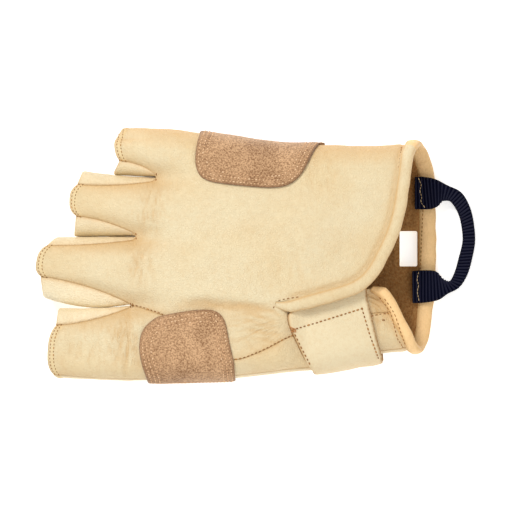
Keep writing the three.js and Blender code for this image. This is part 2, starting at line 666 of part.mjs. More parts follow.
function aroundPinky(x, m, topY, palmY) {
  const top = [x, pinkyTopY(x), topLevel(x, pinkyTopY(x))];
  const bottom = [x, pinkyBottomY(x), bottomLevel(x, pinkyBottomY(x))];
  if (m <= PINKY_TOP_STEPS) {
    const y = lerp(topY, top[1], m / PINKY_TOP_STEPS);
    return [x, y, topLevel(x, y)];
  }
  if (m <= PINKY_TOP_STEPS + SIDE_STEPS) {
    const wide = [x, outline(x, 'pinky'), level(x, 'pinkySide')];
    return sideWall(top, wide, bottom, ...PINKY_ANGLES)[m - PINKY_TOP_STEPS];
  }
  const flatY = outline(x, 'pinky') - EDGE_ROUND;
  const rest = PALM_ROWS[m - PINKY_TOP_STEPS - SIDE_STEPS - 1];
  const y = lerp(flatY, palmY, rest);
  return [x, y, bottomLevel(x, y)];
}

// Around the index edge: from the back, down the side and, if asked, under the wrist
const INDEX_TOP_STEPS = 5;
const INDEX_CROWDING = 1.4;
const WRIST_STEPS = 3;

function aroundIndex(x, m, topY, underY, sunk) {
  const top = [x, indexTopY(x), topLevel(x, indexTopY(x), sunk)];
  const bottom = [x, indexBottomY(x), bottomLevel(x, indexBottomY(x))];
  if (m <= INDEX_TOP_STEPS) {
    const y = lerp(topY, top[1], 1 - (1 - m / INDEX_TOP_STEPS) ** INDEX_CROWDING);
    return [x, y, topLevel(x, y, sunk)];
  }
  if (m <= INDEX_TOP_STEPS + SIDE_STEPS) {
    const wide = [x, outline(x, 'index'), level(x, 'indexSide')];
    return sideWall(top, wide, bottom, ...INDEX_ANGLES)[m - INDEX_TOP_STEPS];
  }
  const y = lerp(bottom[1], underY, (m - INDEX_TOP_STEPS - SIDE_STEPS) / WRIST_STEPS);
  return [x, y, bottomLevel(x, y)];
}

// Levels at which a patch's outline on the back gives way to the one underneath
const MIDWAY_PINKY = 11;
const MIDWAY_INDEX = 22;
const MIDWAY_WRIST = 20;
const FAR = 60;

// Suede palm patch: its outlines on the back and under the palm
const PATCH_BACK = [
  [-23.5, 62], [-25.8, 55.4], [-27.1, 51.1], [-28.0, 43.6], [-26.9, 38.7], [-25.1, 35.8],
  [-21.6, 33.9], [-17.2, 33.0], [-4.0, 31.5], [7.0, 30.7], [13.7, 31.5], [17.2, 33.4],
  [20.7, 36.5], [23.3, 40.9], [25.5, 45.3], [27.7, 49.3], [31.2, 50.7], [31.2, 62],
];
const PATCH_PALM = [
  [-23.5, 62], [-26, 54], [-37, 46], [-43, 34], [-44, 16], [-41, 0], [-34, -7.5], [36, -7.5],
  [45, -2], [50, 10], [50, 26], [44, 40], [31.2, 50], [31.2, 62],
];
const PALM_PATCH_X = [-46, 53];
const PALM_PATCH_ROWS = 14;
const PALM_PATCH_Y = { back: 27, palm: -9 };

function palmPatch() {
  const point = (i, m) => {
    const x = lerp(PALM_PATCH_X[0], PALM_PATCH_X[1], i / PALM_PATCH_ROWS);
    return aroundPinky(x, m, PALM_PATCH_Y.back, PALM_PATCH_Y.palm);
  };
  const cols = PINKY_TOP_STEPS + SIDE_STEPS + PALM_ROWS.length;
  const skin = sheet(PALM_PATCH_ROWS, cols, point, SUEDE + PATCH_GAP, PATCH_SINK, true);
  const kept = block(PATCH_BACK, MIDWAY_PINKY, FAR).add(block(PATCH_PALM, -FAR, MIDWAY_PINKY));
  return clearOfShell(skin.intersect(kept));
}

// Suede patch over the crotch of the thumb: outline on the back, then straight down the side
const THUMB_PATCH_BACK = [
  [-41.7, -27.8], [-32.0, -25.8], [-25.3, -25.1], [-21.0, -25.0], [-17.4, -26.2], [-14.8, -28.8],
  [-13.5, -31.9], [-12.6, -36.8], [-11.3, -43.4], [-9.9, -48.7], [-9.5, -54.4], [-8.6, -64],
  [-48.4, -64], [-50.0, -55.7], [-51.8, -50.9], [-53.3, -44.3], [-53.1, -39.4], [-52.2, -35.9],
  [-50.5, -32.8], [-46.9, -29.8], [-44.3, -28.4],
];
const THUMB_PATCH_SIDE = [[-48.4, -64], [-8.6, -64], [-12, -50], [-44, -50]];
const THUMB_PATCH_X = [-55, -6];
const THUMB_PATCH_ROWS = 8;
const THUMB_PATCH_TOP = -22;

function thumbPatch() {
  const point = (i, m) => {
    const x = lerp(THUMB_PATCH_X[0], THUMB_PATCH_X[1], i / THUMB_PATCH_ROWS);
    return aroundIndex(x, m, THUMB_PATCH_TOP, 0, 0);
  };
  const skin = sheet(THUMB_PATCH_ROWS, INDEX_TOP_STEPS + SIDE_STEPS, point, SUEDE + PATCH_GAP, PATCH_SINK);
  const kept = block(THUMB_PATCH_BACK, MIDWAY_INDEX, FAR).add(block(THUMB_PATCH_SIDE, -FAR, MIDWAY_INDEX));
  return clearOfShell(skin.intersect(kept));
}

// Wrist tab: under the flap, over the lobe, round the index edge and sewn on underneath
const TAB_BACK = [
  [15.0, -28.0], [21.5, -26.6], [24.5, -20], [27, 7], [48, 7], [51.0, -12], [50.8, -18.6],
  [52.4, -25.3], [54.2, -33.0], [56.1, -40.8], [58.7, -48.4], [60, -64], [27.4, -64],
  [27.4, -53.0], [24.0, -49.8], [20.9, -43.4], [17.7, -36.3], [15.1, -31.5],
];
const TAB_UNDER = [
  [27.4, -64], [60, -64], [58, -30], [56, -20], [30, -20], [31, -40], [31, -49.5], [27.4, -52.2],
];
const TAB_X = [12, 62];
const TAB_Y = { back: 10, under: -17 };
const TAB_ROWS = 8;
// The tab's outer corner stands off the edge of the wrist
const TAB_STAND_OFF = { amount: 2.2, startX: 46, reachX: 10, startY: -34, reachY: 12 };

function standOff([x, y, z]) {
  const t = TAB_STAND_OFF;
  const out = t.amount * ease((x - t.startX) / t.reachX) * ease((t.startY - y) / t.reachY);
  return [x, y - out, z];
}

function wristTab() {
  const point = (i, m) => {
    const x = lerp(TAB_X[0], TAB_X[1], i / TAB_ROWS);
    return standOff(aroundIndex(x, m, TAB_Y.back, TAB_Y.under, sunkAt(x)));
  };
  const cols = INDEX_TOP_STEPS + SIDE_STEPS + WRIST_STEPS;
  const skin = sheet(TAB_ROWS, cols, point, TAB_LEATHER + PATCH_GAP, PATCH_SINK);
  const kept = block(TAB_BACK, MIDWAY_WRIST, FAR).add(block(TAB_UNDER, -FAR, MIDWAY_WRIST));
  return clearOfShell(skin.intersect(kept));
}

// Hook-and-loop pad between the tab and the flap
const PAD = { x: [28, 46], y: [-9, 5], steps: 3 };

function closurePad() {
  const point = (i, j) => {
    const x = lerp(PAD.x[0], PAD.x[1], i / PAD.steps);
    const y = lerp(PAD.y[1], PAD.y[0], j / PAD.steps);
    return [x, y, topLevel(x, y, FLAP_STACK)];
  };
  const low = PATCH_GAP + TAB_LEATHER + SEAM_GAP;
  return sheet(PAD.steps, PAD.steps, point, FLAP_STACK - LEATHER - SEAM_GAP, -low);
}

// Rolled bindings: a rounded section carried along the shell's free edge
const BINDING_SECTION = [
  { across: 0, up: -0.38 }, { across: 0.3, up: -0.5 },
  { across: 0.75, up: -0.46 }, { across: 1, up: -0.16 },
  { across: 1, up: 0.16 }, { across: 0.75, up: 0.46 },
  { across: 0.3, up: 0.5 }, { across: 0, up: 0.38 },
];
const FLAP_BINDING_WIDTH = { slit: 5.6, pinky: 5.0 };
const CUFF_BINDING_WIDTH = { least: 4.5, most: 7.5, turns: 1.35 };

function binding(chain, width) {
  const points = chain.map((p) => shell.points[vertexOf(shell, p)]);
  const normals = chain.map((p) => shell.normals[vertexOf(shell, p)]);
  const rings = points.map((p, i) => {
    const next = points[Math.min(i + 1, points.length - 1)];
    const previous = points[Math.max(i - 1, 0)];
    const out = new THREE.Vector3().subVectors(next, previous).cross(normals[i]).normalize();
    const up = normals[i];
    const wide = width(i / (points.length - 1));
    return BINDING_SECTION.map((corner) => p.clone()
      .addScaledVector(out, BINDING_GAP + corner.across * wide)
      .addScaledVector(up, corner.up * BINDING_HEIGHT - LEATHER / 2));
  });
  return loft(rings);
}

function steps(from, to) {
  const list = [];
  const way = Math.sign(to - from);
  for (let k = from; k !== to + way; k += way) list.push(k);
  return list;
}

function flapBinding() {
  const end = CUFF_STATIONS;
  const chain = [
    ...steps(0, end).map((i) => flapPoint(i, SLIT_COLUMN)),
    ...steps(SLIT_COLUMN - 1, 0).map((j) => flapPoint(end, j)),
  ];
  const { slit, pinky } = FLAP_BINDING_WIDTH;
  return clearOfShell(binding(chain, (t) => lerp(slit, pinky, t)));
}

function cuffBinding() {
  const end = PALM_STATIONS;
  const chain = [
    ...steps(1, SIDE_STEPS).map((m) => bodySide(end, true)[m]),
    ...steps(1, LAST).map((j) => palmPoint(end, j)),
    ...steps(SIDE_STEPS - 1, 0).map((m) => bodySide(end, false)[m]),
    ...steps(LAST - 1, SLIT_COLUMN).map((j) => lobePoint(CUFF_STATIONS, j)),
  ];
  const { least, most, turns } = CUFF_BINDING_WIDTH;
  const swell = (t) => Math.sqrt(Math.sin(Math.PI * clamp(t * turns, 0, 1)));
  return clearOfShell(binding(chain, (t) => lerp(least, most, swell(t))));
}

// Thumb: a short open tube, from its root under the index side round to its open end
const THUMB_RINGS = [
  { x: 7.0, z: 15.5, turn: 90, half: 9.3, wide: 10.5 },
  { x: 7.0, z: 14.0, turn: 88, half: 9.3, wide: 10.5 },
  { x: 5.0, z: 11.0, turn: 62, half: 8.6, wide: 10.8 },
  { x: 0.5, z: 8.0, turn: 32, half: 7.5, wide: 11.2 },
  { x: -7.0, z: 6.9, turn: 10, half: 6.7, wide: 11.6 },
  { x: -20.0, z: 6.7, turn: 0, half: 6.6, wide: 12.0 },
  { x: -33.0, z: 6.7, turn: 0, half: 6.6, wide: 12.2 },
  { x: -45.0, z: 6.6, turn: 0, half: 6.5, wide: 12.6 },
];
const THUMB_Y = -35.2;
const THUMB_SIDES = 16;
const THUMB_HOLE_LOW = 10;

function thumbPoint(i, k) {
  const ring = THUMB_RINGS[i];
  const angle = 2 * Math.PI * (k % THUMB_SIDES) / THUMB_SIDES;
  const squared = (v) => Math.sign(v) * Math.abs(v) ** 0.8;
  const high = ring.half * squared(Math.sin(angle));
  const across = ring.wide * squared(Math.cos(angle));
  const turn = radians(ring.turn);
  return [ring.x - high * Math.sin(turn), THUMB_Y + across, ring.z + high * Math.cos(turn)];
}

function thumb() {
  return sheet(THUMB_RINGS.length - 1, THUMB_SIDES, thumbPoint, 0, LEATHER, true);
}

function thumbHole() {
  const ring = THUMB_RINGS[0];
  const points = steps(0, THUMB_SIDES - 1).map((k) => {
    const [x, y] = thumbPoint(0, k);
    const shrink = (v, c, half) => c + (v - c) * (half - LEATHER) / half;
    return [shrink(x, ring.x, ring.half), shrink(y, THUMB_Y, ring.wide)];
  });
  return block(points, THUMB_HOLE_LOW, MIDWAY_INDEX);
}

// Window cut through the palm side of the cuff
const WINDOW = { x: [66.8, 75.0], y: [-5.2, 11.1] };

function windowCut() {
  const { x, y } = WINDOW;
  return block([[x[0], y[0]], [x[1], y[0]], [x[1], y[1]], [x[0], y[1]]], -FAR, MIDWAY_PINKY);
}

// Pull loop: 15 mm webbing, flat where it is sewn on and folded to half width between
const PULL_LOOP = [
  { outX: 74.2, outY: 36.3, inX: 74.2, inY: 21.2, z: 5.6, thick: 1.6 },
  { outX: 78.6, outY: 36.2, inX: 80.1, inY: 21.2, z: 5.8, thick: 1.6 },
  { outX: 83.6, outY: 35.1, inX: 84.1, inY: 22.4, z: 5.8, thick: 1.6 },
  { outX: 88.9, outY: 32.4, inX: 87.1, inY: 25.1, z: 5.4, thick: 2.4 },
  { outX: 94.9, outY: 29.5, inX: 90.3, inY: 24.7, z: 4.6, thick: 3.0 },
  { outX: 98.3, outY: 24.8, inX: 93.4, inY: 20.3, z: 3.8, thick: 3.2 },
  { outX: 100.7, outY: 17.9, inX: 95.1, inY: 15.2, z: 3.0, thick: 3.2 },
  { outX: 101.9, outY: 7.6, inX: 96.0, inY: 7.4, z: 2.4, thick: 3.2 },
  { outX: 100.6, outY: -1.1, inX: 94.1, inY: -1.6, z: 2.6, thick: 3.2 },
  { outX: 98.2, outY: -9.2, inX: 92.0, inY: -8.6, z: 3.2, thick: 3.2 },
  { outX: 94.4, outY: -15.0, inX: 89.5, inY: -12.2, z: 4.2, thick: 3.0 },
  { outX: 89.0, outY: -18.0, inX: 86.6, inY: -10.8, z: 5.6, thick: 2.4 },
  { outX: 84.7, outY: -20.8, inX: 83.7, inY: -7.6, z: 6.6, thick: 1.6 },
  { outX: 78.7, outY: -22.0, inX: 78.7, inY: -7.0, z: 6.6, thick: 1.6 },
  { outX: 73.1, outY: -22.3, inX: 72.9, inY: -7.3, z: 6.4, thick: 1.6 },
];

function pullLoop() {
  const rings = PULL_LOOP.map((row) => {
    const low = row.z - row.thick / 2;
    const high = row.z + row.thick / 2;
    return [
      new THREE.Vector3(row.inX, row.inY, low), new THREE.Vector3(row.outX, row.outY, low),
      new THREE.Vector3(row.outX, row.outY, high), new THREE.Vector3(row.inX, row.inY, high),
    ];
  });
  return loft(rings);
}

const panelWall = (tag) => toSolid(
  wallOver(shell, shell.faces.filter((f) => f.tag === tag), 0, LEATHER, SEAM_TRIM),
);

addPiece('back_panel', panelWall('back_panel'), COLOURS.grain, 0.55);
addPiece('index_panel', panelWall('index_panel'), COLOURS.grain, 0.55);
const palm = panelWall('palm_panel').subtract(windowCut()).subtract(thumbHole());
addPiece('palm_panel', largestBody(palm), COLOURS.grainDeep, 0.55);
for (const name of GUSSETS) addPiece(name, panelWall(name), COLOURS.grainDeep, 0.55);
addPiece('thumb', thumb(), COLOURS.grainDeep, 0.55);
addPiece('flap_binding', flapBinding(), COLOURS.grain, 0.5);
addPiece('cuff_binding', cuffBinding(), COLOURS.grainDeep, 0.5);
addPiece('palm_patch', palmPatch(), COLOURS.suede, 0.9);
addPiece('thumb_patch', thumbPatch(), COLOURS.suede, 0.9);
addPiece('wrist_tab', wristTab(), COLOURS.grain, 0.55);
addPiece('closure_pad', closurePad(), COLOURS.hook, 0.9);
addPiece('pull_loop', pullLoop(), COLOURS.webbing, 0.8);

export default group;
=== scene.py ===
import math
from functools import cache

import bmesh
import bpy
import numpy as np
from bpy.props import FloatProperty, FloatVectorProperty, IntProperty, PointerProperty
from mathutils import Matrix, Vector, noise
from mathutils.bvhtree import BVHTree
from mathutils.kdtree import KDTree


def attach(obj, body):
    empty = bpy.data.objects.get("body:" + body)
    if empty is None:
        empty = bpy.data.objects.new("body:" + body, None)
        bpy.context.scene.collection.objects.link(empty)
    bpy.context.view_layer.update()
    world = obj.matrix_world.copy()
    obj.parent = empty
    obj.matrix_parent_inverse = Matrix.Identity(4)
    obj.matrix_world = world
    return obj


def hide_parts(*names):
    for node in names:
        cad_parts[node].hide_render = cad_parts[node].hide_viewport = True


bl_info = {
    "name": "Leather rope glove",
    "version": (1, 0, 0),
    "blender": (4, 5, 0),
    "location": "View3D > Sidebar > Glove",
    "description": "Fingerless right-hand leather glove with suede patches, wrist tab and webbing loop",
    "category": "Object",
}

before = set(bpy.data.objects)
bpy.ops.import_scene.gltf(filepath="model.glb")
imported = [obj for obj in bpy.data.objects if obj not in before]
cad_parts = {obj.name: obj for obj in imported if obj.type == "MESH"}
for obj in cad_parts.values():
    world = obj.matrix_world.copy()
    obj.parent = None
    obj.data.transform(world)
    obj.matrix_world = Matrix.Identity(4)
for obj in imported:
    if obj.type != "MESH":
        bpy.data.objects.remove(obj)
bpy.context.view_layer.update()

# The glove's tables are in millimetres and become metres when a mesh is made.
MM = 0.001

LEATHER = 1.5
SUEDE = 1.3
PATCH_GAP = 0.35
# The palm lies on its suede patch
PALM_LIFT = SUEDE + PATCH_GAP
EDGE_ROUND = 10.0
# How far the lobe lies below the flap, and over what length it gets there
FLAP_STACK = 6.0
STACK_REACH = 15


def rows(names, *values):
    """A short table, as one array for each named column."""
    return dict(zip(names.split(), np.array(values, float).T))


OUTLINE = rows(
    "x pinky index seam",
    (-92, 58.5, -56.5, -22.8),
    (-61, 58.5, -57.4, -22.8),
    (-46, 58.6, -57.6, -26.2),
    (-35, 57.8, -57.1, -31.0),
    (-22, 55.6, -56.9, -39.5),
    (-10, 53.8, -56.6, -48.0),
    (2, 51.9, -55.4, -44.3),
    (16, 50.5, -53.7, -37.4),
    (34, 50.8, -52.3, -32.2),
    (46, 50.4, -50.0, -29.2),
    (58, 50.5, -45.8, -27.0),
    (68, 51.4, -44.6, -26.0),
    (82, 52.0, -43.6, -26.0),
)
HEIGHTS = rows(
    "x pinky_top middle_top index_top pinky_side index_side over_thumb",
    (-95, 19, 25, 30, 9, 19, 9),
    (-60, 21, 28, 35, 10, 25, 16),
    (-30, 23, 31, 37, 11, 26, 16),
    (0, 25, 33, 38, 12, 26, 16),
    (20, 26, 33, 37, 12, 25, 16),
    (45, 26, 31, 33, 13, 17, 5),
    (60, 25.5, 30, 30, 13, 14, 3),
    (85, 25, 29, 28, 13, 13, 3),
)
CROTCHES = rows("x y dip", (-46.2, 36.0, 4.5), (-55.6, 8.7, 5.0), (-57.8, -23.1, 5.0))
DIP_LENGTH = 13
DIP_WIDTH = 5.5
DENTS = rows(
    "x y reach_x reach_y depth",
    (-17, -25, 24, 5, 2.0),
    (-54, -44, 3.5, 12, 1.0),
    (6, -35, 9, 7, 1.2),
    (-40, 46, 10, 8, -0.8),
    (20, 18, 26, 20, -1.0),
)

# Finger fronts and the widest lines of their sides, each at the tip, half way and the crotch
FINGERS = (
    {
        "top": 16.5, "tip_bulge": -1.3,
        "upper_x": (-64.6, -55.5, -47.7), "upper_y": (53.6, 53.8, 53.6),
        "lower_x": (-62.8, -53.9, -47.4), "lower_y": (43.6, 41.4, 37.7),
        "upper_wide_x": (-61.7, -54.6, -47.7), "upper_wide_y": (58.5, 58.8, 58.6),
        "lower_wide_x": (-65.6, -55.5, -47.0), "lower_wide_y": (37.0, 36.6, 36.3),
    },
    {
        "top": 19.5, "tip_bulge": -3.2,
        "upper_x": (-82.3, -64.8, -47.6), "upper_y": (32.7, 32.5, 34.3),
        "lower_x": (-82.9, -69.5, -56.8), "lower_y": (18.0, 15.2, 10.1),
        "upper_wide_x": (-79.9, -63.0, -47.0), "upper_wide_y": (39.1, 36.9, 35.9),
        "lower_wide_x": (-83.8, -69.5, -56.4), "lower_wide_y": (8.5, 8.5, 8.8),
    },
    {
        "top": 22.5, "tip_bulge": -3.2,
        "upper_x": (-96.4, -76.5, -56.6), "upper_y": (4.6, 5.2, 7.3),
        "lower_x": (-99.1, -77.6, -59.2), "lower_y": (-9.9, -14.6, -22.1),
        "upper_wide_x": (-92.7, -74.6, -56.3), "upper_wide_y": (8.3, 8.6, 8.7),
        "lower_wide_x": (-98.2, -78.4, -58.8), "lower_wide_y": (-19.5, -24.0, -22.9),
    },
    {
        "top": 28.0, "tip_bulge": -3.0,
        "upper_x": (-91.8, -75.5, -59.1), "upper_y": (-32.2, -29.6, -24.1),
        "lower_x": (-93.3, -75.1, -57.8), "lower_y": (-55.0, -56.6, -57.1),
        "upper_wide_x": (-90.8, -74.6, -58.8), "upper_wide_y": (-24.3, -24.4, -23.3),
        "lower_wide_x": (-91.8, -75.0, -57.8), "lower_wide_y": (-56.5, -57.2, -57.8),
    },
)
FRONT_STEPS = (0, 0.25, 0.5, 0.75, 1)
INDEX_FRONT_STEPS = (0, 0.27, 0.52, 0.76, 0.91, 1)
BACK_STATIONS = 8
CUFF_STATIONS = 8
SLIT_END = (9.0, -21.5)
PINKY_ANGLES = (60, 60)
INDEX_ANGLES = (28, 60)
GUSSET_ANGLES = (80, 75)
FINGER_BOTTOM_INSET = 3.5
# How much shorter than its front the underside of a finger is
UNDER_SHORT = 1.0
UNDER_BULGE = -1.5
# How square a finger's open end is, and how far it drops at the glove's sides and at the others
TIP_POWER = 3
OUTER_DROP = 3.0
INNER_DROP = 1.2
# How much further in a web lies on the palm side, and where it is deepest
WEB_SLANT = 0.4
WEB_DEEPEST = 0.6
# The cuff's place along the hand, and where the lobe's seam starts to turn to its edge
CUFF_X = 70.0
LOBE_TURN = 0.6
# The lobe's seam meets its edge here, as a share of the edge
LOBE_SEAM = 0.5
THUMB_SLOPE = (-7, -23)

FLAP_EDGE = rows(
    "t x y",
    (0, 9, -21.5), (0.1, 17, -20.6), (0.25, 31.7, -16.9), (0.4, 45.2, -12.4), (0.5, 51.5, -7.0),
    (0.6, 55.8, 0.5), (0.7, 59.4, 8.0), (0.8, 62.8, 17.5), (0.9, 65.3, 31.0), (1, 67.6, 47.0),
)
FLAP_CORNER = 0.5
LOBE_SLIT = rows("t x y", (0, 9, -21.5), (0.125, 15, -24.4), (0.35, 26, -21.5), (1, 53.2, -15.3))
LOBE_EDGE = rows(
    "t x y",
    (0, 53.2, -15.3), (0.2, 57.7, -18.9), (0.4, 60.9, -23.4),
    (0.6, 63.5, -29.5), (0.8, 66.7, -35.0), (1, 70.6, -43.1),
)
PALM_EDGE = rows(
    "y x", (-45, 72.6), (-38, 74.2), (-28, 75.2), (-6, 76.3), (25, 76.3), (38, 75.6), (50, 72.0)
)


def lerp(a, b, t):
    return a + (b - a) * t


def ease(t):
    s = np.clip(t, 0, 1)
    return s * s * (3 - 2 * s)


def bell(t):
    return np.exp(-(t ** 2))


def fade(distance, reach):
    """From 1 at no distance towards 0 beyond the reach."""
    return np.exp(-distance / reach)


def spot(x, y, middle_x, middle_y, reach_x, reach_y):
    """A soft round patch, 1 in its middle."""
    return np.exp(-(((x - middle_x) / reach_x) ** 2) - ((y - middle_y) / reach_y) ** 2)


def boxy(wave, power):
    """A sine or cosine with its rounds squared off."""
    return np.sign(wave) * np.abs(wave) ** power


def column(table, key, name, x):
    """The table's column at x: a smooth curve through its rows, level past both ends."""
    xs, ys = table[key], table[name]
    x = np.clip(x, xs[0], xs[-1])
    slope = np.diff(ys) / np.diff(xs)
    inner = np.where(slope[:-1] * slope[1:] > 0, (slope[:-1] + slope[1:]) / 2, 0)
    tangent = np.concatenate([slope[:1], inner, slope[-1:]])
    i = np.clip(np.searchsorted(xs, x, side="right") - 1, 0, len(xs) - 2)
    h = xs[i + 1] - xs[i]
    t = (x - xs[i]) / h
    return (
        ys[i] * (1 + 2 * t) * (1 - t) ** 2 + tangent[i] * h * t * (1 - t) ** 2
        + ys[i + 1] * t * t * (3 - 2 * t) + tangent[i + 1] * h * t * t * (t - 1)
    )


def arch(a, b, c, s):
    """A curve through three values at s = 0, 1/2 and 1."""
    return a * (1 - s) * (1 - 2 * s) + 4 * b * s * (1 - s) + c * s * (2 * s - 1)


def outline(x, name):
    return column(OUTLINE, "x", name, x)


def level(x, name):
    return column(HEIGHTS, "x", name, x)


def stack(*parts):
    return np.stack(np.broadcast_arrays(*parts), axis=-1)


def round_off(distance):
    d = np.clip(distance / EDGE_ROUND, 0, 1)
    return np.sqrt(np.maximum(1 - (1 - d) ** 2, 0))


def crown(x, y):
    pinky, index = outline(x, "pinky"), outline(x, "index")
    across = np.clip((pinky - y) / (pinky - index), 0, 1)
    z = arch(level(x, "pinky_top"), level(x, "middle_top"), level(x, "index_top"), across)
    for cx, cy, dip in zip(CROTCHES["x"], CROTCHES["y"], CROTCHES["dip"]):
        along = np.where(x > cx, bell((x - cx) / DIP_LENGTH), 1)
        z = z - dip * along * bell((y - cy) / DIP_WIDTH)
    for *where, depth in zip(*DENTS.values()):
        z = z - depth * spot(x, y, *where)
    return z


def rounded_edges(x, y, z):
    near_pinky = 1 - round_off(outline(x, "pinky") - y)
    near_index = 1 - round_off(y - outline(x, "index"))
    return z - near_pinky * (z - level(x, "pinky_side")) - near_index * (z - level(x, "index_side"))


def top_level(x, y, sunk=0):
    return rounded_edges(x, y, crown(x, y) - sunk)


def floor_level(x, y):
    over = ease((THUMB_SLOPE[0] - y) / (THUMB_SLOPE[0] - THUMB_SLOPE[1]))
    return lerp(PALM_LIFT, level(x, "over_thumb"), over)


def bottom_level(x, y):
    return rounded_edges(x, y, floor_level(x, y))


def side_wall(top, wide, bottom, angles, m):
    """Points down a side, from the top edge over the widest point to the bottom edge."""
    angle = np.radians(lerp(angles[0], -angles[1], m))
    most = np.radians(np.where(angle >= 0, angles[0], angles[1]))
    inward = ((1 - np.cos(angle)) / (1 - np.cos(most)))[..., None]
    rise = (np.sin(np.abs(angle)) / np.sin(most))[..., None]
    top, wide, bottom = (np.asarray(p)[..., None, :] for p in (top, wide, bottom))
    end = np.where((angle >= 0)[..., None], top, bottom)
    plan = lerp(wide[..., :2], end[..., :2], inward)
    return np.concatenate([plan, lerp(wide[..., 2:], end[..., 2:], rise)], axis=-1)


def edge_inset(angle):
    return EDGE_ROUND * (1 - math.cos(math.radians(angle)))


def pinky_top_y(x):
    return outline(x, "pinky") - edge_inset(PINKY_ANGLES[0])


def index_top_y(x):
    return outline(x, "index") + edge_inset(INDEX_ANGLES[0])


def pinky_bottom_y(x):
    return outline(x, "pinky") - edge_inset(PINKY_ANGLES[1])


def index_bottom_y(x):
    return outline(x, "index") + edge_inset(INDEX_ANGLES[1])


def outer_side(k, upper):
    """The edge of the hand that this side of a finger is part of, or None between fingers."""
    if k == 0 and upper:
        return "pinky"
    return "index" if k == 3 and not upper else None


SIDE_ANGLES = {"pinky": PINKY_ANGLES, "index": INDEX_ANGLES, None: GUSSET_ANGLES}
# Where the widest line lies from the top to the bottom of the outer fingers
WIDEST = {"pinky": 0.5, "index": 0.35}


def bottom_inset(k, upper):
    side = outer_side(k, upper)
    return edge_inset(SIDE_ANGLES[side][1]) if side else FINGER_BOTTOM_INSET


def front_steps(k):
    return INDEX_FRONT_STEPS if k == 3 else FRONT_STEPS


def column_places():
    """The crotch row's places on the back and on the palm, and each finger's first column."""
    back, palm, first = [], [], []
    for k, f in enumerate(FINGERS):
        first.append(len(back))
        upper = f["upper_wide_y"][2] - bottom_inset(k, True)
        lower = f["lower_wide_y"][2] + bottom_inset(k, False)
        for v in front_steps(k):
            x = lerp(f["upper_x"][2], f["lower_x"][2], v)
            back.append((x, lerp(f["upper_y"][2], f["lower_y"][2], v)))
            palm.append((x, lerp(upper, lower, v)))
        if k < 3:
            back.append((CROTCHES["x"][k], CROTCHES["y"][k]))
            palm.append((CROTCHES["x"][k] + WEB_SLANT, CROTCHES["y"][k]))
    return np.array(back), np.array(palm), first


BACK_PLACES, PALM_PLACES, FIRST_COLUMN = column_places()
LAST = len(BACK_PLACES) - 1
SEAM_COLUMN = FIRST_COLUMN[3] - 1
SLIT_COLUMN = SEAM_COLUMN - 4


def crotch_place(u, palm):
    """Place from above on the crotch row, with each web between fingers rounded."""
    places = PALM_PLACES if palm else BACK_PLACES
    whole = np.arange(LAST + 1)
    x = np.interp(u, whole, places[:, 0])
    y = np.interp(u, whole, places[:, 1])
    for k in range(3):
        web = FIRST_COLUMN[k + 1] - 1
        w = np.clip((u - web + 1) / 2, 0, 1)
        depth = places[web, 0] - (places[web - 1, 0] + places[web + 1, 0]) / 2
        x = x + depth * (np.sin(np.pi * w) - (1 - np.abs(2 * w - 1)))
    return x, y


def back_point(i, u):
    """Back of the hand, between the crotch row and the end of the slit."""
    start_x, start_y = crotch_place(u, False)
    x = lerp(start_x, SLIT_END[0], i / BACK_STATIONS)
    s = ease(i / BACK_STATIONS)

    def share(y, x0, high, low):
        return (high(x0) - y) / (high(x0) - low(x0))

    def seam_y(x0):
        return outline(x0, "seam")

    slit_share = share(SLIT_END[1], SLIT_END[0], pinky_top_y, seam_y)
    past = (u - SLIT_COLUMN) / (SEAM_COLUMN - SLIT_COLUMN)
    end = np.where(u <= SLIT_COLUMN, slit_share * u / SLIT_COLUMN, lerp(slit_share, 1, past))
    upper = lerp(share(start_y, start_x, pinky_top_y, seam_y), end, s)
    end_low = (u - SEAM_COLUMN) / (LAST - SEAM_COLUMN)
    lower = lerp(share(start_y, start_x, seam_y, index_top_y), end_low, s)
    high_y = lerp(pinky_top_y(x), seam_y(x), upper)
    low_y = lerp(seam_y(x), index_top_y(x), lower)
    y = np.where(u <= SEAM_COLUMN, high_y, low_y)
    return stack(x, y, top_level(x, y))


def place(table, t):
    return column(table, "t", "x", t), column(table, "t", "y", t)


def flap_point(i, u):
    """Closing flap, between the pinky edge and the slit, out to its edge."""
    s, v = i / CUFF_STATIONS, u / SLIT_COLUMN
    left = back_point(BACK_STATIONS + 0 * i, u)
    right_x, right_y = place(FLAP_EDGE, lerp(1, FLAP_CORNER, v))
    slit_x, slit_y = place(FLAP_EDGE, FLAP_CORNER * s)
    corner_x, corner_y = place(FLAP_EDGE, FLAP_CORNER)
    end_x, end_y = place(FLAP_EDGE, 1.0)
    pinky_x = lerp(left[..., 0], end_x, s)
    x = lerp(left[..., 0], right_x, s) + v * (slit_x - lerp(SLIT_END[0], corner_x, s))
    y = lerp(left[..., 1], right_y, s) + v * (slit_y - lerp(SLIT_END[1], corner_y, s))
    start_y = back_point(np.float64(BACK_STATIONS), np.float64(0))[1]
    y = y + (1 - v) * (pinky_top_y(pinky_x) - lerp(start_y, end_y, s))
    return stack(x, y, top_level(x, y))


def sunk_at(x):
    return FLAP_STACK * ease((x - SLIT_END[0]) / STACK_REACH)


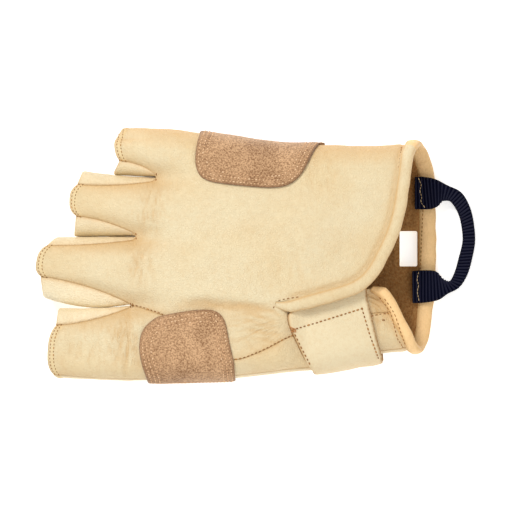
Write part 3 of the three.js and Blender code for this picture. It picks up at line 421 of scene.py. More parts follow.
def lobe_point(i, u):
    """Strip below the slit and thumb-side lobe, down to the index edge."""
    s = i / CUFF_STATIONS
    v = (u - SLIT_COLUMN) / (LAST - SLIT_COLUMN)
    left = back_point(BACK_STATIONS + 0 * i, u)
    seam_v = (SEAM_COLUMN - SLIT_COLUMN) / (LAST - SLIT_COLUMN)
    edge_t = np.where(v < seam_v, LOBE_SEAM * v / seam_v, lerp(LOBE_SEAM, 1, (v - seam_v) / (1 - seam_v)))
    right_x, right_y = place(LOBE_EDGE, edge_t)
    slit_y = place(LOBE_SLIT, s)[1]
    x = lerp(left[..., 0], right_x, s)
    seam_x_end, seam_y_end = place(LOBE_EDGE, LOBE_SEAM)
    seam_left = back_point(np.float64(BACK_STATIONS), np.float64(SEAM_COLUMN))[1]
    turn = ease((s - LOBE_TURN) / (1 - LOBE_TURN))
    at_seam = lerp(outline(lerp(SLIT_END[0], seam_x_end, s), "seam"), seam_y_end, turn)
    straight_slit = lerp(SLIT_END[1], LOBE_EDGE["y"][0], s)
    straight_seam = lerp(seam_left, seam_y_end, s)
    bend = lerp(slit_y - straight_slit, at_seam - straight_seam, v / seam_v)
    strip_y = lerp(left[..., 1], right_y, s) + bend
    share = (v - seam_v) / (1 - seam_v)
    side_y = lerp(lerp(outline(x, "seam"), index_top_y(x), share), right_y, turn)
    y = np.where(u <= SEAM_COLUMN, strip_y, np.where(u >= LAST, index_top_y(x), side_y))
    return stack(x, y, top_level(x, y, sunk_at(x)))


def palm_point(i, u):
    """Palm side, from the crotch row to the cuff."""
    start_x, start_y = crotch_place(u, True)
    wide = pinky_bottom_y(start_x) - index_bottom_y(start_x)
    share = lerp((pinky_bottom_y(start_x) - start_y) / wide, u / LAST, ease(i / BACK_STATIONS))
    edge_y = lerp(pinky_bottom_y(CUFF_X), index_bottom_y(CUFF_X), share)
    near = lerp(start_x, SLIT_END[0], i / BACK_STATIONS)
    far = lerp(SLIT_END[0], column(PALM_EDGE, "y", "x", edge_y), (i - BACK_STATIONS) / CUFF_STATIONS)
    x = np.where(i <= BACK_STATIONS, near, far)
    y = lerp(pinky_bottom_y(x), index_bottom_y(x), share)
    return stack(x, y, bottom_level(x, y))


def at(f, name, s):
    return arch(*f[name], s)


def tip_round(v):
    """How far a finger's open end reaches out at v of its width, from 0 at both sides to 1."""
    return 1 - np.abs(2 * v - 1) ** TIP_POWER


def finger_top(k, s, v):
    f = FINGERS[k]
    end_x = lerp(f["upper_x"][2], f["lower_x"][2], v)
    end_y = lerp(f["upper_y"][2], f["lower_y"][2], v)
    bulge = f["tip_bulge"] * tip_round(v) * (1 - s) ** 2
    x = lerp(at(f, "upper_x", s), at(f, "lower_x", s), v) + bulge
    y = lerp(at(f, "upper_y", s), at(f, "lower_y", s), v)
    outer = ((k == 0) & (v < 0.5)) | ((k == 3) & (v > 0.5))
    drop = np.abs(2 * v - 1) ** TIP_POWER * np.where(outer, OUTER_DROP, INNER_DROP)
    z = lerp(f["top"] - drop, top_level(end_x, end_y), ease(s))
    return stack(x, y, z)


def finger_bottom(k, s, v):
    f = FINGERS[k]
    inset = bottom_inset(k, True), bottom_inset(k, False)
    end_x = lerp(f["upper_x"][2], f["lower_x"][2], v)
    end_y = lerp(f["upper_wide_y"][2] - inset[0], f["lower_wide_y"][2] + inset[1], v)
    tip = (UNDER_SHORT + UNDER_BULGE * 4 * v * (1 - v)) * (1 - s) ** 2
    x = lerp(at(f, "upper_x", s), at(f, "lower_x", s), v) + tip
    y = lerp(at(f, "upper_wide_y", s) - inset[0], at(f, "lower_wide_y", s) + inset[1], v)
    z = lerp(floor_level(x, y), bottom_level(end_x, end_y), ease(s))
    return stack(x, y, z)


def finger_wide(k, s, upper):
    f = FINGERS[k]
    v = np.full_like(s, 0.0 if upper else 1.0)
    top, bottom = finger_top(k, s, v), finger_bottom(k, s, v)
    row = "upper" if upper else "lower"
    x, y = at(f, f"{row}_wide_x", s), at(f, f"{row}_wide_y", s)
    side = outer_side(k, upper)
    if side:
        z = lerp(lerp(top[..., 2], bottom[..., 2], WIDEST[side]), level(x, f"{side}_side"), s)
    else:
        z = lerp(bottom[..., 2], top[..., 2], 0.5)
    return top, stack(x, y, z), bottom


def finger_side(k, s, upper, m):
    top, wide, bottom = finger_wide(k, s, upper)
    return side_wall(top, wide, bottom, SIDE_ANGLES[outer_side(k, upper)], m)


def web_wall(k, w, m):
    """The gusset's turn at the crotch, from one finger's side (w = 0) to the next (w = 1)."""
    one = np.ones(1)
    _, wide_a, _ = finger_wide(k, one, False)
    _, wide_b, _ = finger_wide(k + 1, one, True)
    u = FIRST_COLUMN[k + 1] - 2 + 2 * w
    tx, ty = crotch_place(u, False)
    bx, by = crotch_place(u, True)
    top = stack(tx, ty, top_level(tx, ty))
    bottom = stack(bx, by, bottom_level(bx, by))
    apex_x, apex_y = CROTCHES["x"][k], CROTCHES["y"][k]
    apex_z = (top_level(apex_x, apex_y) + bottom_level(apex_x + WEB_SLANT, apex_y)) / 2
    deepest = np.array([apex_x + WEB_DEEPEST, apex_y, apex_z])
    swell = np.sin(np.pi * w)[:, None]
    wide = lerp(wide_a, wide_b, w[:, None]) + (deepest - (wide_a + wide_b) / 2) * swell
    return side_wall(top, wide, bottom, GUSSET_ANGLES, m)


def body_side(i, pinky, m):
    u = np.full_like(i, 0.0 if pinky else float(LAST))
    past = np.maximum(i - BACK_STATIONS, 0)
    beyond = flap_point(past, u) if pinky else lobe_point(past, u)
    top = np.where((i <= BACK_STATIONS)[..., None], back_point(np.minimum(i, BACK_STATIONS), u), beyond)
    bottom = palm_point(i, u)
    name = "pinky" if pinky else "index"
    x = (top[..., 0] + bottom[..., 0]) / 2
    wide = stack(x, outline(x, name), level(x, f"{name}_side"))
    _, start, _ = finger_wide(0 if pinky else 3, np.ones(1), pinky)
    wide = lerp(start, wide, ease(i)[..., None])
    return side_wall(top, wide, bottom, SIDE_ANGLES[name], m)


# Points nearer than this are one corner
MERGE_WITHIN = 0.02


class Surface:
    """Tagged quads over grids of points, with shared corners merged."""

    def __init__(self):
        self.points, self.quads, self.tags = [], [], []
        self.count = 0

    def add(self, tag, grid, flipped=False, outside=None):
        n, m = grid.shape[:2]
        index = np.arange(n * m).reshape(n, m)
        corners = index[:-1, :-1], index[:-1, 1:], index[1:, 1:], index[1:, :-1]
        quads = np.stack([c.ravel() for c in corners], axis=1)
        points = grid.reshape(-1, 3)
        if outside is not None:
            points, quads = clip_cells(points, quads, outside.ravel())
        self.quads.append((quads[:, ::-1] if flipped else quads) + self.count)
        self.points.append(points)
        self.tags += [tag] * len(quads)
        self.count += len(points)

    def merge(self):
        """Joins the points that lie together, and works out the normals."""
        points, quads = np.concatenate(self.points), np.concatenate(self.quads)
        edge = np.unique(border_edges(quads, len(points)))
        tree = tree_of(points[edge])
        keep = np.arange(len(points))
        for n in edge.tolist():
            keep[n] = min(edge[other] for _, other, _ in tree.find_range(points[n], MERGE_WITHIN))
        keep = keep[keep]
        used, new = np.unique(keep[quads], return_inverse=True)
        self.points = points[used]
        self.quads = new.reshape(-1, 4)
        self.tags = np.array(self.tags)
        self.normals = normals_of(self.points, self.quads)
        return self


def normals_of(points, quads):
    p = points[quads]
    face = np.cross(p[:, 2] - p[:, 0], p[:, 3] - p[:, 1])
    normals = np.zeros_like(points)
    for c in range(4):
        np.add.at(normals, quads[:, c], face)
    return unit(normals)


# How finely each step of the shell's tables is divided
FINE_COLUMNS = 8
FINE_STATIONS = 9
FINGER_ROWS = 38
SIDE_ROWS = 20
GUSSETS = ("pinky_ring_gusset", "ring_middle_gusset", "middle_index_gusset")


def steps_between(first, last, fine):
    return np.linspace(first, last, (last - first) * fine + 1)


def build_shell():
    shell = Surface()
    m = np.linspace(0, 1, SIDE_ROWS + 1)
    s = np.linspace(0, 1, FINGER_ROWS + 1)
    for k in range(4):
        first, steps = FIRST_COLUMN[k], front_steps(k)
        u = steps_between(0, len(steps) - 1, FINE_COLUMNS)
        v = np.interp(u, np.arange(len(steps)), steps)
        grid_s, grid_v = np.meshgrid(s, v, indexing="ij")
        shell.add("index_panel" if k == 3 else "back_panel", finger_top(k, grid_s, grid_v))
        shell.add("palm_panel", finger_bottom(k, grid_s, grid_v), True)
        shell.add(GUSSETS[k - 1] if k else "back_panel", finger_side(k, s, True, m), True)
        shell.add("palm_panel" if k == 3 else GUSSETS[k], finger_side(k, s, False, m))
        if k < 3:
            w = np.linspace(0, 1, 2 * FINE_COLUMNS + 1)
            shell.add(GUSSETS[k], web_wall(k, w, m))
    back = steps_between(0, BACK_STATIONS, FINE_STATIONS)
    cuff = steps_between(0, CUFF_STATIONS, FINE_STATIONS)
    whole = steps_between(0, BACK_STATIONS + CUFF_STATIONS, FINE_STATIONS)

    def grid(point, stations, first, last):
        return point(*np.meshgrid(stations, steps_between(first, last, FINE_COLUMNS), indexing="ij"))

    shell.add("back_panel", grid(back_point, back, 0, SEAM_COLUMN))
    shell.add("index_panel", grid(back_point, back, SEAM_COLUMN, LAST))
    shell.add("back_panel", grid(flap_point, cuff, 0, SLIT_COLUMN))
    shell.add("back_panel", grid(lobe_point, cuff, SLIT_COLUMN, SEAM_COLUMN))
    shell.add("index_panel", grid(lobe_point, cuff, SEAM_COLUMN, LAST))
    palm = grid(palm_point, whole, 0, LAST)
    shell.add("palm_panel", palm, True, in_openings(palm))
    shell.add("back_panel", body_side(whole, True, m), True)
    shell.add("palm_panel", body_side(whole, False, m))
    return shell.merge()


def outside_of(polygon, x, y):
    """Signed distance from above to a closed outline, negative inside it."""
    a = polygon
    b = np.roll(a, -1, axis=0)
    p = np.stack([x.ravel(), y.ravel()], axis=1)[:, None, :]
    run = b - a
    t = np.clip(((p - a) * run).sum(-1) / (run * run).sum(-1), 0, 1)
    gap = np.linalg.norm(a + run * t[..., None] - p, axis=-1).min(axis=1)
    over = (a[:, 1] > p[..., 1]) != (b[:, 1] > p[..., 1])
    rise = np.where(run[:, 1] == 0, 1, run[:, 1])
    cross = a[:, 0] + (p[..., 1] - a[:, 1]) * run[:, 0] / rise
    inside = (over & (p[..., 0] < cross)).sum(axis=1) % 2 == 1
    return np.where(inside, -gap, gap).reshape(x.shape)


def rounded_outline(points, times=3):
    """The closed outline with its corners cut round."""
    p = np.array(points, float)
    for _ in range(times):
        q = np.roll(p, -1, axis=0)
        p = np.stack([lerp(p, q, 0.25), lerp(p, q, 0.75)], axis=1).reshape(-1, 2)
    return p


def clip_cells(points, quads, outside):
    """The faces where outside is negative, cut along its zero line."""
    out = outside[quads]
    whole = quads[(out <= 0).all(axis=1)]
    cut_points, cuts = [], {}

    def cut(a, b):
        key = min(a, b), max(a, b)
        if key not in cuts:
            cuts[key] = len(points) + len(cut_points)
            cut_points.append(lerp(points[a], points[b], outside[a] / (outside[a] - outside[b])))
        return cuts[key]

    parts = []
    for quad in quads[(out < 0).any(axis=1) & (out > 0).any(axis=1)].tolist():
        ring = []
        for a, b in zip(quad, quad[1:] + quad[:1]):
            if outside[a] <= 0:
                ring.append(a)
            if (outside[a] <= 0) != (outside[b] <= 0):
                ring.append(cut(a, b))
        for n in range(1, len(ring) - 1, 2):
            parts.append([ring[0], ring[n], ring[n + 1], ring[min(n + 2, len(ring) - 1)]])
    if not parts:
        return points, whole
    return np.concatenate([points, cut_points]), np.concatenate([whole, np.array(parts)])


def border_edges(quads, count):
    """Directed edges of the faces that no other of these faces shares."""
    a, b = quads.ravel(), np.roll(quads, -1, axis=1).ravel()
    real = a != b
    a, b = a[real], b[real]
    alone = ~np.isin(a * count + b, b * count + a)
    return a[alone], b[alone]


def unit(v):
    return v / np.maximum(np.linalg.norm(v, axis=-1, keepdims=True), 1e-9)


def tree_of(points):
    tree = KDTree(len(points))
    for n, p in enumerate(points.tolist()):
        tree.insert(p, n)
    tree.balance()
    return tree


FAR = 999.0


def distance_to(points, a, b):
    """How far each point is from the nearest of the edges from a to b."""
    if not len(a):
        return np.full(len(points), FAR)
    tree = tree_of(np.concatenate([lerp(a, b, t) for t in (0, 0.25, 0.5, 0.75)]))
    return np.array([tree.find(p)[2] for p in points.tolist()])


def wobble(points, size, seed=0.0):
    """Smooth noise between about -1 and 1, with lumps of the given size."""
    moved = (np.asarray(points) / size + seed).tolist()
    return np.array([noise.noise(p) for p in moved])


def in_scene(name, data):
    """A new object in the scene."""
    thing = bpy.data.objects.new(name, data)
    bpy.context.scene.collection.objects.link(thing)
    return thing


def store(mesh, values, kind, field):
    """Named values for each point of a mesh, numbers or vectors."""
    for key, value in values.items():
        layer = mesh.attributes.new(key, kind, "POINT")
        layer.data.foreach_set(field, np.asarray(value, np.float32).ravel())


def new_piece(name, points, faces, values, material):
    """A smooth mesh object at the origin, from points in millimetres and values for each point."""
    mesh = bpy.data.meshes.new(name)
    mesh.from_pydata((points * MM).tolist(), [], faces)
    store(mesh, values, "FLOAT", "value")
    mesh.validate()
    mesh.shade_smooth()
    mesh.materials.append(material)
    return in_scene(name, mesh)


def rest_on_floor(piece):
    """Flattens what would go below the surface that the glove lies on."""
    places = np.empty(len(piece.data.vertices) * 3, np.float32)
    piece.data.vertices.foreach_get("co", places)
    places[2::3] = np.maximum(places[2::3], 0)
    piece.data.vertices.foreach_set("co", places)


def declare(piece, slot, *nodes):
    """Rests a piece on the floor, puts it under the root and hides the nodes it stands for. slot is not
    used.
    """
    rest_on_floor(piece)
    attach(piece, "root")
    if nodes:
        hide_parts(*nodes)


def wall(name, surface, above, below, relief, material, seam=0.0, tag=None):
    """A piece with thickness over the tagged faces of a surface.

    Its points are raised by above and sunk by below along the normals. Its edges are drawn back by
    seam where another piece goes on. relief works out folds of the whole wall, the height of its
    skin alone, and the values that the material reads.
    """
    chosen = surface.tags == (tag or name)
    quads, count = surface.quads[chosen], len(surface.points)
    a, b = border_edges(quads, count)
    others = surface.quads[~chosen]
    next_corner = np.roll(others, -1, axis=1)
    shared = np.isin(b * count + a, (others * count + next_corner).ravel())
    inward, amount = np.zeros_like(surface.points), np.zeros(count)
    for v in (a, b):
        side = unit(np.cross(surface.normals[v], surface.points[b] - surface.points[a]))
        np.add.at(inward, v, side)
        np.maximum.at(amount, v, np.where(shared, seam, 0.0))
    moved = surface.points + unit(inward) * amount[:, None]
    used = np.unique(quads)
    local = np.zeros(count, int)
    local[used] = np.arange(len(used))
    p, n = surface.points[used], surface.normals[used]
    near_seam = distance_to(p, surface.points[a[shared]], surface.points[b[shared]])
    near_free = distance_to(p, surface.points[a[~shared]], surface.points[b[~shared]])
    shape = relief(p, n, near_seam, near_free)
    base = moved[used] + n * shape.pop("fold")[:, None]
    outer = base + n * (above + shape.pop("skin"))[:, None]
    points = np.concatenate([outer, base - n * below])
    deep = len(used)
    top = local[quads]
    sides = np.stack([local[a], local[a] + deep, local[b] + deep, local[b]], axis=1)
    rings = np.concatenate([top, top[:, ::-1] + deep, sides]).tolist()
    faces = [list(dict.fromkeys(ring)) for ring in rings]
    raw = shape.pop("raw", np.zeros(deep))
    values = {key: np.concatenate([value, value]) for key, value in shape.items()}
    values["inside"] = np.concatenate([raw, np.ones(deep)])
    return new_piece(name, points, [f for f in faces if len(f) > 2], values, material)


# Creases and folds of the leather on the back, from one end to the other
CREASES = rows(
    "x0 y0 x1 y1 width depth",
    (-58.8, -25.0, -58.6, -57.0, 1.0, 0.90),
    (-59.6, -26.0, -64.8, -53.0, 1.3, 0.55),
    (-57.4, -26.0, -51.5, -57.0, 1.2, 0.45),
    (-56.5, -26.5, -66.0, -40.0, 1.0, 0.20),
    (-48.0, 30.0, -54.0, 17.5, 1.0, 0.25),
    (-46.2, 29.0, -50.5, 15.0, 0.9, 0.20),
    (-44.6, 27.5, -47.5, 17.0, 0.9, 0.12),
    (-56.0, 4.0, -54.4, -11.0, 1.0, 0.25),
    (-53.6, 5.0, -52.0, -8.0, 1.0, 0.15),
    (-36.0, -21.6, -10.0, -24.6, 2.6, 0.70),
    (-14.0, -23.6, 9.0, -24.0, 2.0, 0.75),
    (-9.0, -26.5, 10.5, -30.0, 0.9, 0.50),
    (-8.0, -29.5, 11.5, -33.0, 0.8, 0.42),
    (-6.0, -32.5, 12.5, -37.5, 0.8, 0.48),
    (-4.0, -37.0, 12.0, -42.0, 0.8, 0.42),
    (-7.0, -36.5, 5.0, -47.0, 0.9, 0.25),
    (4.0, -25.6, 14.0, -27.5, 0.8, 0.45),
    (25.4, 48.0, 25.0, 24.0, 1.2, 0.12),
    (35.8, 47.0, 35.0, 26.0, 1.2, 0.12),
    (16.0, 8.0, 22.0, -14.0, 1.0, 0.12),
    (53.6, -17.2, 60.0, -24.6, 0.9, 0.80),
    (53.0, -19.6, 58.8, -26.2, 0.8, 0.70),
    (53.4, -28.4, 57.6, -34.0, 0.9, 0.40),
    (54.6, -33.0, 58.6, -38.0, 0.9, 0.30),
    (9.6, -23.2, 17.0, -21.4, 0.7, -0.45),
    (52.0, -14.8, 60.5, -20.8, 0.7, 0.9),
    (51.8, -17.0, 59.5, -23.8, 0.7, 1.0),
    (52.2, -19.6, 58.5, -26.6, 0.7, 0.9),
    (52.8, -22.2, 57.5, -28.4, 0.7, 0.7),
)
# Painted shade: soft patches of deeper tan, most of them in the crotches, creases and dips of the back
SHADE_PATCHES = rows(
    "x y reach_x reach_y amount",
    (-47.0, 27.0, 5.0, 12.0, 0.30), (-53.5, -3.0, 5.0, 15.0, 0.32), (-60.0, -38.0, 7.0, 12.0, 0.26),
    (-46.0, 37.0, 7.0, 5.0, 0.30), (-55.0, 9.0, 7.0, 5.0, 0.30), (-57.0, -22.0, 7.0, 5.0, 0.25),
    (-12.0, -23.5, 24.0, 3.6, 0.38), (2.0, -33.0, 11.0, 8.0, 0.26), (40.0, 8.0, 16.0, 8.0, 0.14),
    (55.0, -21.0, 4.0, 5.0, 0.60), (56.0, -32.0, 4.0, 6.0, 0.25), (0.0, 12.0, 22.0, 5.0, 0.10),
)
# Places with a net of fine wrinkles
WRINKLED = rows(
    "x y reach_x reach_y amount",
    (-48.0, 22.0, 6.0, 11.0, 0.9), (-53.0, -4.0, 5.0, 11.0, 0.9),
    (-60.0, -38.0, 8.0, 12.0, 1.0), (-78.0, -42.0, 14.0, 14.0, 0.5),
    (57.0, -28.0, 5.0, 12.0, 0.6), (30.0, 40.0, 12.0, 14.0, 0.5), (12.0, -8.0, 22.0, 12.0, 0.25),
)
FAN = rows("x y reach_x reach_y amount", (0.0, -34.0, 13.0, 9.0, 1.0), (-22.0, -23.0, 14.0, 3.5, 0.6))
# The fan's wrinkles spread from here, so many to a radian, and are stretched along their length
FAN_CENTRE = (22.0, -28.0)
FAN_STREAKS = 13.0
FAN_STRETCH = 0.10
FAN_DEPTH = 0.55
HEM_ROWS = (1.1, 2.7)
HEM_DEPTH = 3.1
HEM_RAISE = 0.4
HEM_SLOPE = 0.7
HEM_ROW_WIDTH = 0.45
HEM_ROW_SINK = 0.14
SEAM_SINK = 0.45
END_SINK = 0.5
HEM_ENDS_AT = -42.0
# The flap starts here, and dips at this distance from its edge before it rolls
FLAP_FROM = 12.0
GROOVE_AT = 2.0
GROOVE_WIDTH = 1.2
CREASE_BEND = 0.9
CREASE_LIP = 0.35
# The wrinkles at the fingers' bases run across the hand
WRINKLE_STRETCH = (1.0, 0.3, 0.3)
WRINKLE_SCALE = 520.0


def crease_depth(p):
    total = np.zeros(len(p))
    for x0, y0, x1, y1, width, depth in zip(*CREASES.values()):
        a, run = np.array([x0, y0]), np.array([x1 - x0, y1 - y0])
        t = ((p[:, :2] - a) @ run) / (run @ run)
        bend = CREASE_BEND * np.sin(np.pi * np.clip(t, 0, 1) * 1.3 + x0)
        off = (p[:, :2] - a) @ np.array([-run[1], run[0]]) / np.linalg.norm(run) + bend
        strength = ease(1.25 - np.abs(2 * t - 1))
        lip = CREASE_LIP * bell((off - 2 * width) / width)
        total += depth * strength * (bell(off / width) - lip)
    return total


def patches_of(table, p):
    """Soft round patches, as listed in a table."""
    total = np.zeros(len(p))
    for *where, amount in zip(*table.values()):
        total += amount * spot(p[:, 0], p[:, 1], *where)
    return total


def shade_patches_at(p):
    return patches_of(SHADE_PATCHES, p) * (1 + 0.5 * wobble(p, 5.0, 11.0))


def fan_values(p, up):
    """Where the fan of wrinkles is, and each point's angle and distance in it."""
    x, y = p[:, 0] - FAN_CENTRE[0], p[:, 1] - FAN_CENTRE[1]
    return {
        "fan": np.clip(patches_of(FAN, p) * up, 0, 1) * (x < 0),
        "fan_angle": np.arctan2(y, -x) * FAN_STREAKS,
        "fan_reach": np.hypot(x, y) * FAN_STRETCH,
    }


def leather_relief(p, n, near_seam, near_free, hemmed=True):
    """Folds, hems and seams of the grain leather, and its painted shade in creases, dips and seams and on
    sides facing +Y.
    """
    up = np.clip(n[:, 2] * 1.4, 0, 1)
    crease = crease_depth(p) * up
    end = p[:, 0] < HEM_ENDS_AT
    hem_side = end & hemmed
    hem = np.where(hem_side, 1 - ease((near_free - HEM_DEPTH) / HEM_SLOPE + 0.5), 0)
    rows_sink = sum(bell((near_free - row) / HEM_ROW_WIDTH) for row in HEM_ROWS)
    band = np.where(hem_side, np.clip((near_free - 0.9) / 0.5, 0, 1) * hem, 0)
    skin = -SEAM_SINK * fade(near_seam, 0.9) + hem * HEM_RAISE
    skin = skin - np.where(hem_side, HEM_ROW_SINK * rows_sink, 0)
    skin = skin - np.where(end, END_SINK * fade(near_free, 0.4), 0)
    broad = 0.34 * wobble(p, 16.0) + 0.12 * wobble(p, 6.0, 7.0)
    flap = ease((p[:, 0] - FLAP_FROM) / 6.0) * hemmed
    groove = flap * bell((near_free - GROOVE_AT) / GROOVE_WIDTH)
    quiet = 1 - fade(np.minimum(near_seam, near_free), 4)
    fan = fan_values(p, up)
    ripple = FAN_DEPTH * fan["fan"] * wobble(stack(fan["fan_angle"], fan["fan_reach"], 0.0), 1.3)
    # Painted shade along the seams: a thin line in each seam's groove and a broad band where the leather
    # rounds into it
    edges = 0.34 * fade(near_seam, 0.6) + 0.36 * fade(near_seam, 3.8)
    fine = 0.04 * wobble(p, 1.5, 3.0) + 0.05 * wobble(p * [1, 0.45, 1], 2.4, 8.0)
    # Painted shade: sides facing +Y are painted a darker tan, only a little of it on the strips
    lit = np.clip(n[:, 1], 0, 1)
    slope_shade = 0.9 * lit ** 1.6 * (1.0 if hemmed else 0.2)
    # Darker along the fingers' open ends, and painted shade in the flap's dip before its roll
    rim_and_dip_shade = np.where(end, 0.4 * fade(near_free, 0.45), 0) + flap * 0.26 * fade(near_free, 4.0)
    return {
        "fold": broad * quiet - crease - 0.5 * groove + ripple,
        "skin": skin + fine,
        "wear": edges + slope_shade + rim_and_dip_shade,
        # Painted shade in the creases, in the shade patches and in the flap's groove
        "crease": np.clip(crease * 0.9 + shade_patches_at(p) * up + 0.45 * groove, 0, 1),
        "hem": band,
        "wrinkled": np.clip(patches_of(WRINKLED, p) * up + 0.05, 0, 1),
        **fan,
    }


def strip_relief(p, n, near_seam, near_free):
    """The strips between the fingers, with plain cut ends."""
    return leather_relief(p, n, near_seam, near_free, hemmed=False)


RAW_FROM = 46.0


def plain_relief(p, n, near_seam, near_free):
    """A smooth skin with rounded edges, for straps and tubes."""
    near = np.minimum(near_seam, near_free)
    slope = np.clip(1 - np.abs(n[:, 2]), 0, 1)
    return {
        "fold": 0.12 * wobble(p, 9.0, 2.0),
        "skin": -0.45 * fade(near, 0.35) + 0.03 * wobble(p, 1.9, 3.0),
        # Painted shade: darker towards the edges, where the skin rounds down, partly wear too, and darker
        # on steep sides
        "wear": 0.5 * fade(near, 0.5) + 0.12 * fade(near, 4.0) + 0.45 * slope,
        "crease": np.zeros(len(p)),
        "hem": np.zeros(len(p)),
        "wrinkled": np.full(len(p), 0.06),
    }


def tab_relief(p, n, near_seam, near_free):
    """The tab, whose edge towards the wrist is cut raw and dark."""
    values = plain_relief(p, n, near_seam, near_free)
    raw_side = ease((p[:, 0] - RAW_FROM) / 2.0)
    frayed = np.clip(0.8 + 0.5 * wobble(p, 0.9, 6.0), 0, 1)
    values["raw"] = raw_side * frayed * np.exp(-((near_free / 0.95) ** 4))
    return values


SUEDE_ROWS = (1.5, 3.4, 5.3)
SUEDE_ROW_WIDTH = 0.55


def suede_relief(p, n, near_seam, near_free):
    """Thick napped suede, drawn down along its three stitch rows and at its edge."""
    rows_sink = sum(bell((near_free - row) / SUEDE_ROW_WIDTH) for row in SUEDE_ROWS)
    loose = np.clip(p[:, 2] / 4, 0, 1)
    nap = 0.08 * wobble(p, 1.3, 5.0) + 0.07 * wobble(p, 0.8, 9.0)
    return {
        "fold": 0.1 * wobble(p, 8.0, 4.0) * loose,
        "skin": nap * (0.2 + 0.8 * loose) - 0.18 * rows_sink - 0.6 * fade(near_free, 0.5),
        "wear": fade(near_free, 0.6) + 0.2 * fade(near_free, 4.0),
        "crease": 0.6 * rows_sink,
    }


# Rectangular window through the palm side of the cuff, and the opening over the tucked thumb
WINDOW = {"x": (66.8, 75.0), "y": (-5.2, 11.1)}
THUMB_MOUTH = {"x": 7.0, "y": -35.2, "half_x": 7.8, "half_y": 9.0}


def in_openings(grid):
    """Negative where the palm leather is, positive in its window and in the thumb's mouth."""
    x, y = grid[..., 0], grid[..., 1]
    (x0, x1), (y0, y1) = WINDOW["x"], WINDOW["y"]
    window = np.minimum(np.minimum(x - x0, x1 - x), np.minimum(y - y0, y1 - y))
    m = THUMB_MOUTH
    across = np.hypot((x - m["x"]) / m["half_x"], (y - m["y"]) / m["half_y"])
    return np.maximum(window, (1 - across) * m["half_x"])


# Outlines of the suede patches and the wrist tab, on the back and underneath
PATCH_BACK = rounded_outline([
    (-23.5, 66), (-24.3, 58.0), (-25.8, 55.4), (-27.1, 51.1), (-28.0, 43.6), (-26.9, 38.7),
    (-25.1, 35.8), (-21.6, 33.9), (-17.2, 33.0), (-4.0, 31.5), (7.0, 30.7), (13.7, 31.5),
    (17.2, 33.4), (20.7, 36.5), (23.3, 40.9), (25.5, 45.3), (27.7, 49.3), (31.2, 52.5), (31.6, 66),
])
PATCH_PALM = rounded_outline([
    (-23.5, 66), (-24.5, 56), (-37, 46), (-43, 34), (-44, 16), (-41, 0), (-34, -7.5), (36, -7.5),
    (45, -2), (50, 10), (50, 26), (44, 36), (33, 46), (31.6, 52), (31.6, 66),
])
THUMB_PATCH_BACK = rounded_outline([
    (-41.7, -27.8), (-32.0, -25.8), (-25.3, -25.1), (-21.0, -25.0), (-17.4, -26.2), (-14.8, -28.8),
    (-13.5, -31.9), (-12.6, -36.8), (-11.3, -43.4), (-9.9, -48.7), (-9.5, -54.4), (-8.9, -60),
    (-8.6, -68), (-48.4, -68), (-48.8, -60), (-50.0, -55.7), (-51.8, -50.9), (-53.3, -44.3),
    (-53.1, -39.4), (-52.2, -35.9), (-50.5, -32.8), (-46.9, -29.8), (-44.3, -28.4),
])
THUMB_PATCH_SIDE = rounded_outline([
    (-48.4, -68), (-8.6, -68), (-9.0, -57), (-13, -50), (-43, -50), (-48.0, -57),
])
TAB_BACK = rounded_outline([
    (14.6, -26.2), (20.0, -23.6), (24.5, -19), (27, 7), (48, 7), (51.0, -12), (50.8, -18.6),
    (52.4, -25.3), (54.2, -33.0), (56.1, -40.8), (58.7, -48.4), (60, -68), (28.6, -68),
    (28.4, -54.0), (23.6, -50.2), (20.2, -43.6), (16.8, -36.3), (14.5, -31.0),
], 2)
TAB_UNDER = rounded_outline([
    (28.6, -68), (60, -68), (58, -30), (56, -20), (30, -20), (31, -40), (31, -49.5), (28.6, -52.2),
], 2)
# The tab's outer corner stands off the edge of the wrist
TAB_STAND_OFF = {"amount": 2.2, "start_x": 46, "reach_x": 10, "start_y": -34, "reach_y": 12}
# Each sewn on piece: its span along X, the edge it wraps, how far it goes on the back and
# underneath, and its outlines there
PATCHES = {
    "palm_patch": ((-46, 53), "pinky", 27, -9, PATCH_BACK, PATCH_PALM),
    "thumb_patch": ((-55, -6), "index", -22, -46, THUMB_PATCH_BACK, THUMB_PATCH_SIDE),
    "wrist_tab": ((12, 62), "index", 10, -17, TAB_BACK, TAB_UNDER),
}
# Sewn on leather is pressed this far into the panel below it
PATCH_SINK = 0.15
WRAP_STEP = 0.8
# Points round the edge of the hand, half of them on the back
WRAP_TURN = 28


def spread(a, b, step=WRAP_STEP):
    return np.linspace(0, 1, max(2, int(round(abs(b - a) / step)) + 1))


def around_edge(xs, side, top_y, under_y, sunk):
    """Grid round the pinky or the index edge, and how much of it lies on the back."""
    x = xs[:, None]
    pinky = side == "pinky"
    near_y, under = (pinky_top_y, pinky_bottom_y) if pinky else (index_top_y, index_bottom_y)
    angles = PINKY_ANGLES if pinky else INDEX_ANGLES
    y = lerp(top_y, near_y(x), spread(top_y, near_y(0.0)))
    top = stack(x, y, top_level(x, y, sunk(x)))
    low_y = under(x)
    bottom = stack(x, low_y, bottom_level(x, low_y))[:, 0]
    wide = stack(xs, outline(xs, side), level(xs, f"{side}_side"))
    m = np.linspace(0, 1, WRAP_TURN)
    wall_grid = side_wall(top[:, -1], wide, bottom, angles, m)
    y = lerp(low_y, under_y, spread(under(0.0), under_y))
    palm = stack(x, y, bottom_level(x, y))
    grid = np.concatenate([top, wall_grid[:, 1:], palm[:, 1:]], axis=1)
    is_back = np.arange(grid.shape[1]) < top.shape[1] + WRAP_TURN // 2
    return grid, np.broadcast_to(is_back, grid.shape[:2])


def stand_off(grid):
    t = TAB_STAND_OFF
    along = ease((grid[..., 0] - t["start_x"]) / t["reach_x"])
    out = along * ease((t["start_y"] - grid[..., 1]) / t["reach_y"])
    return grid - out[..., None] * np.array([0, t["amount"], 0])


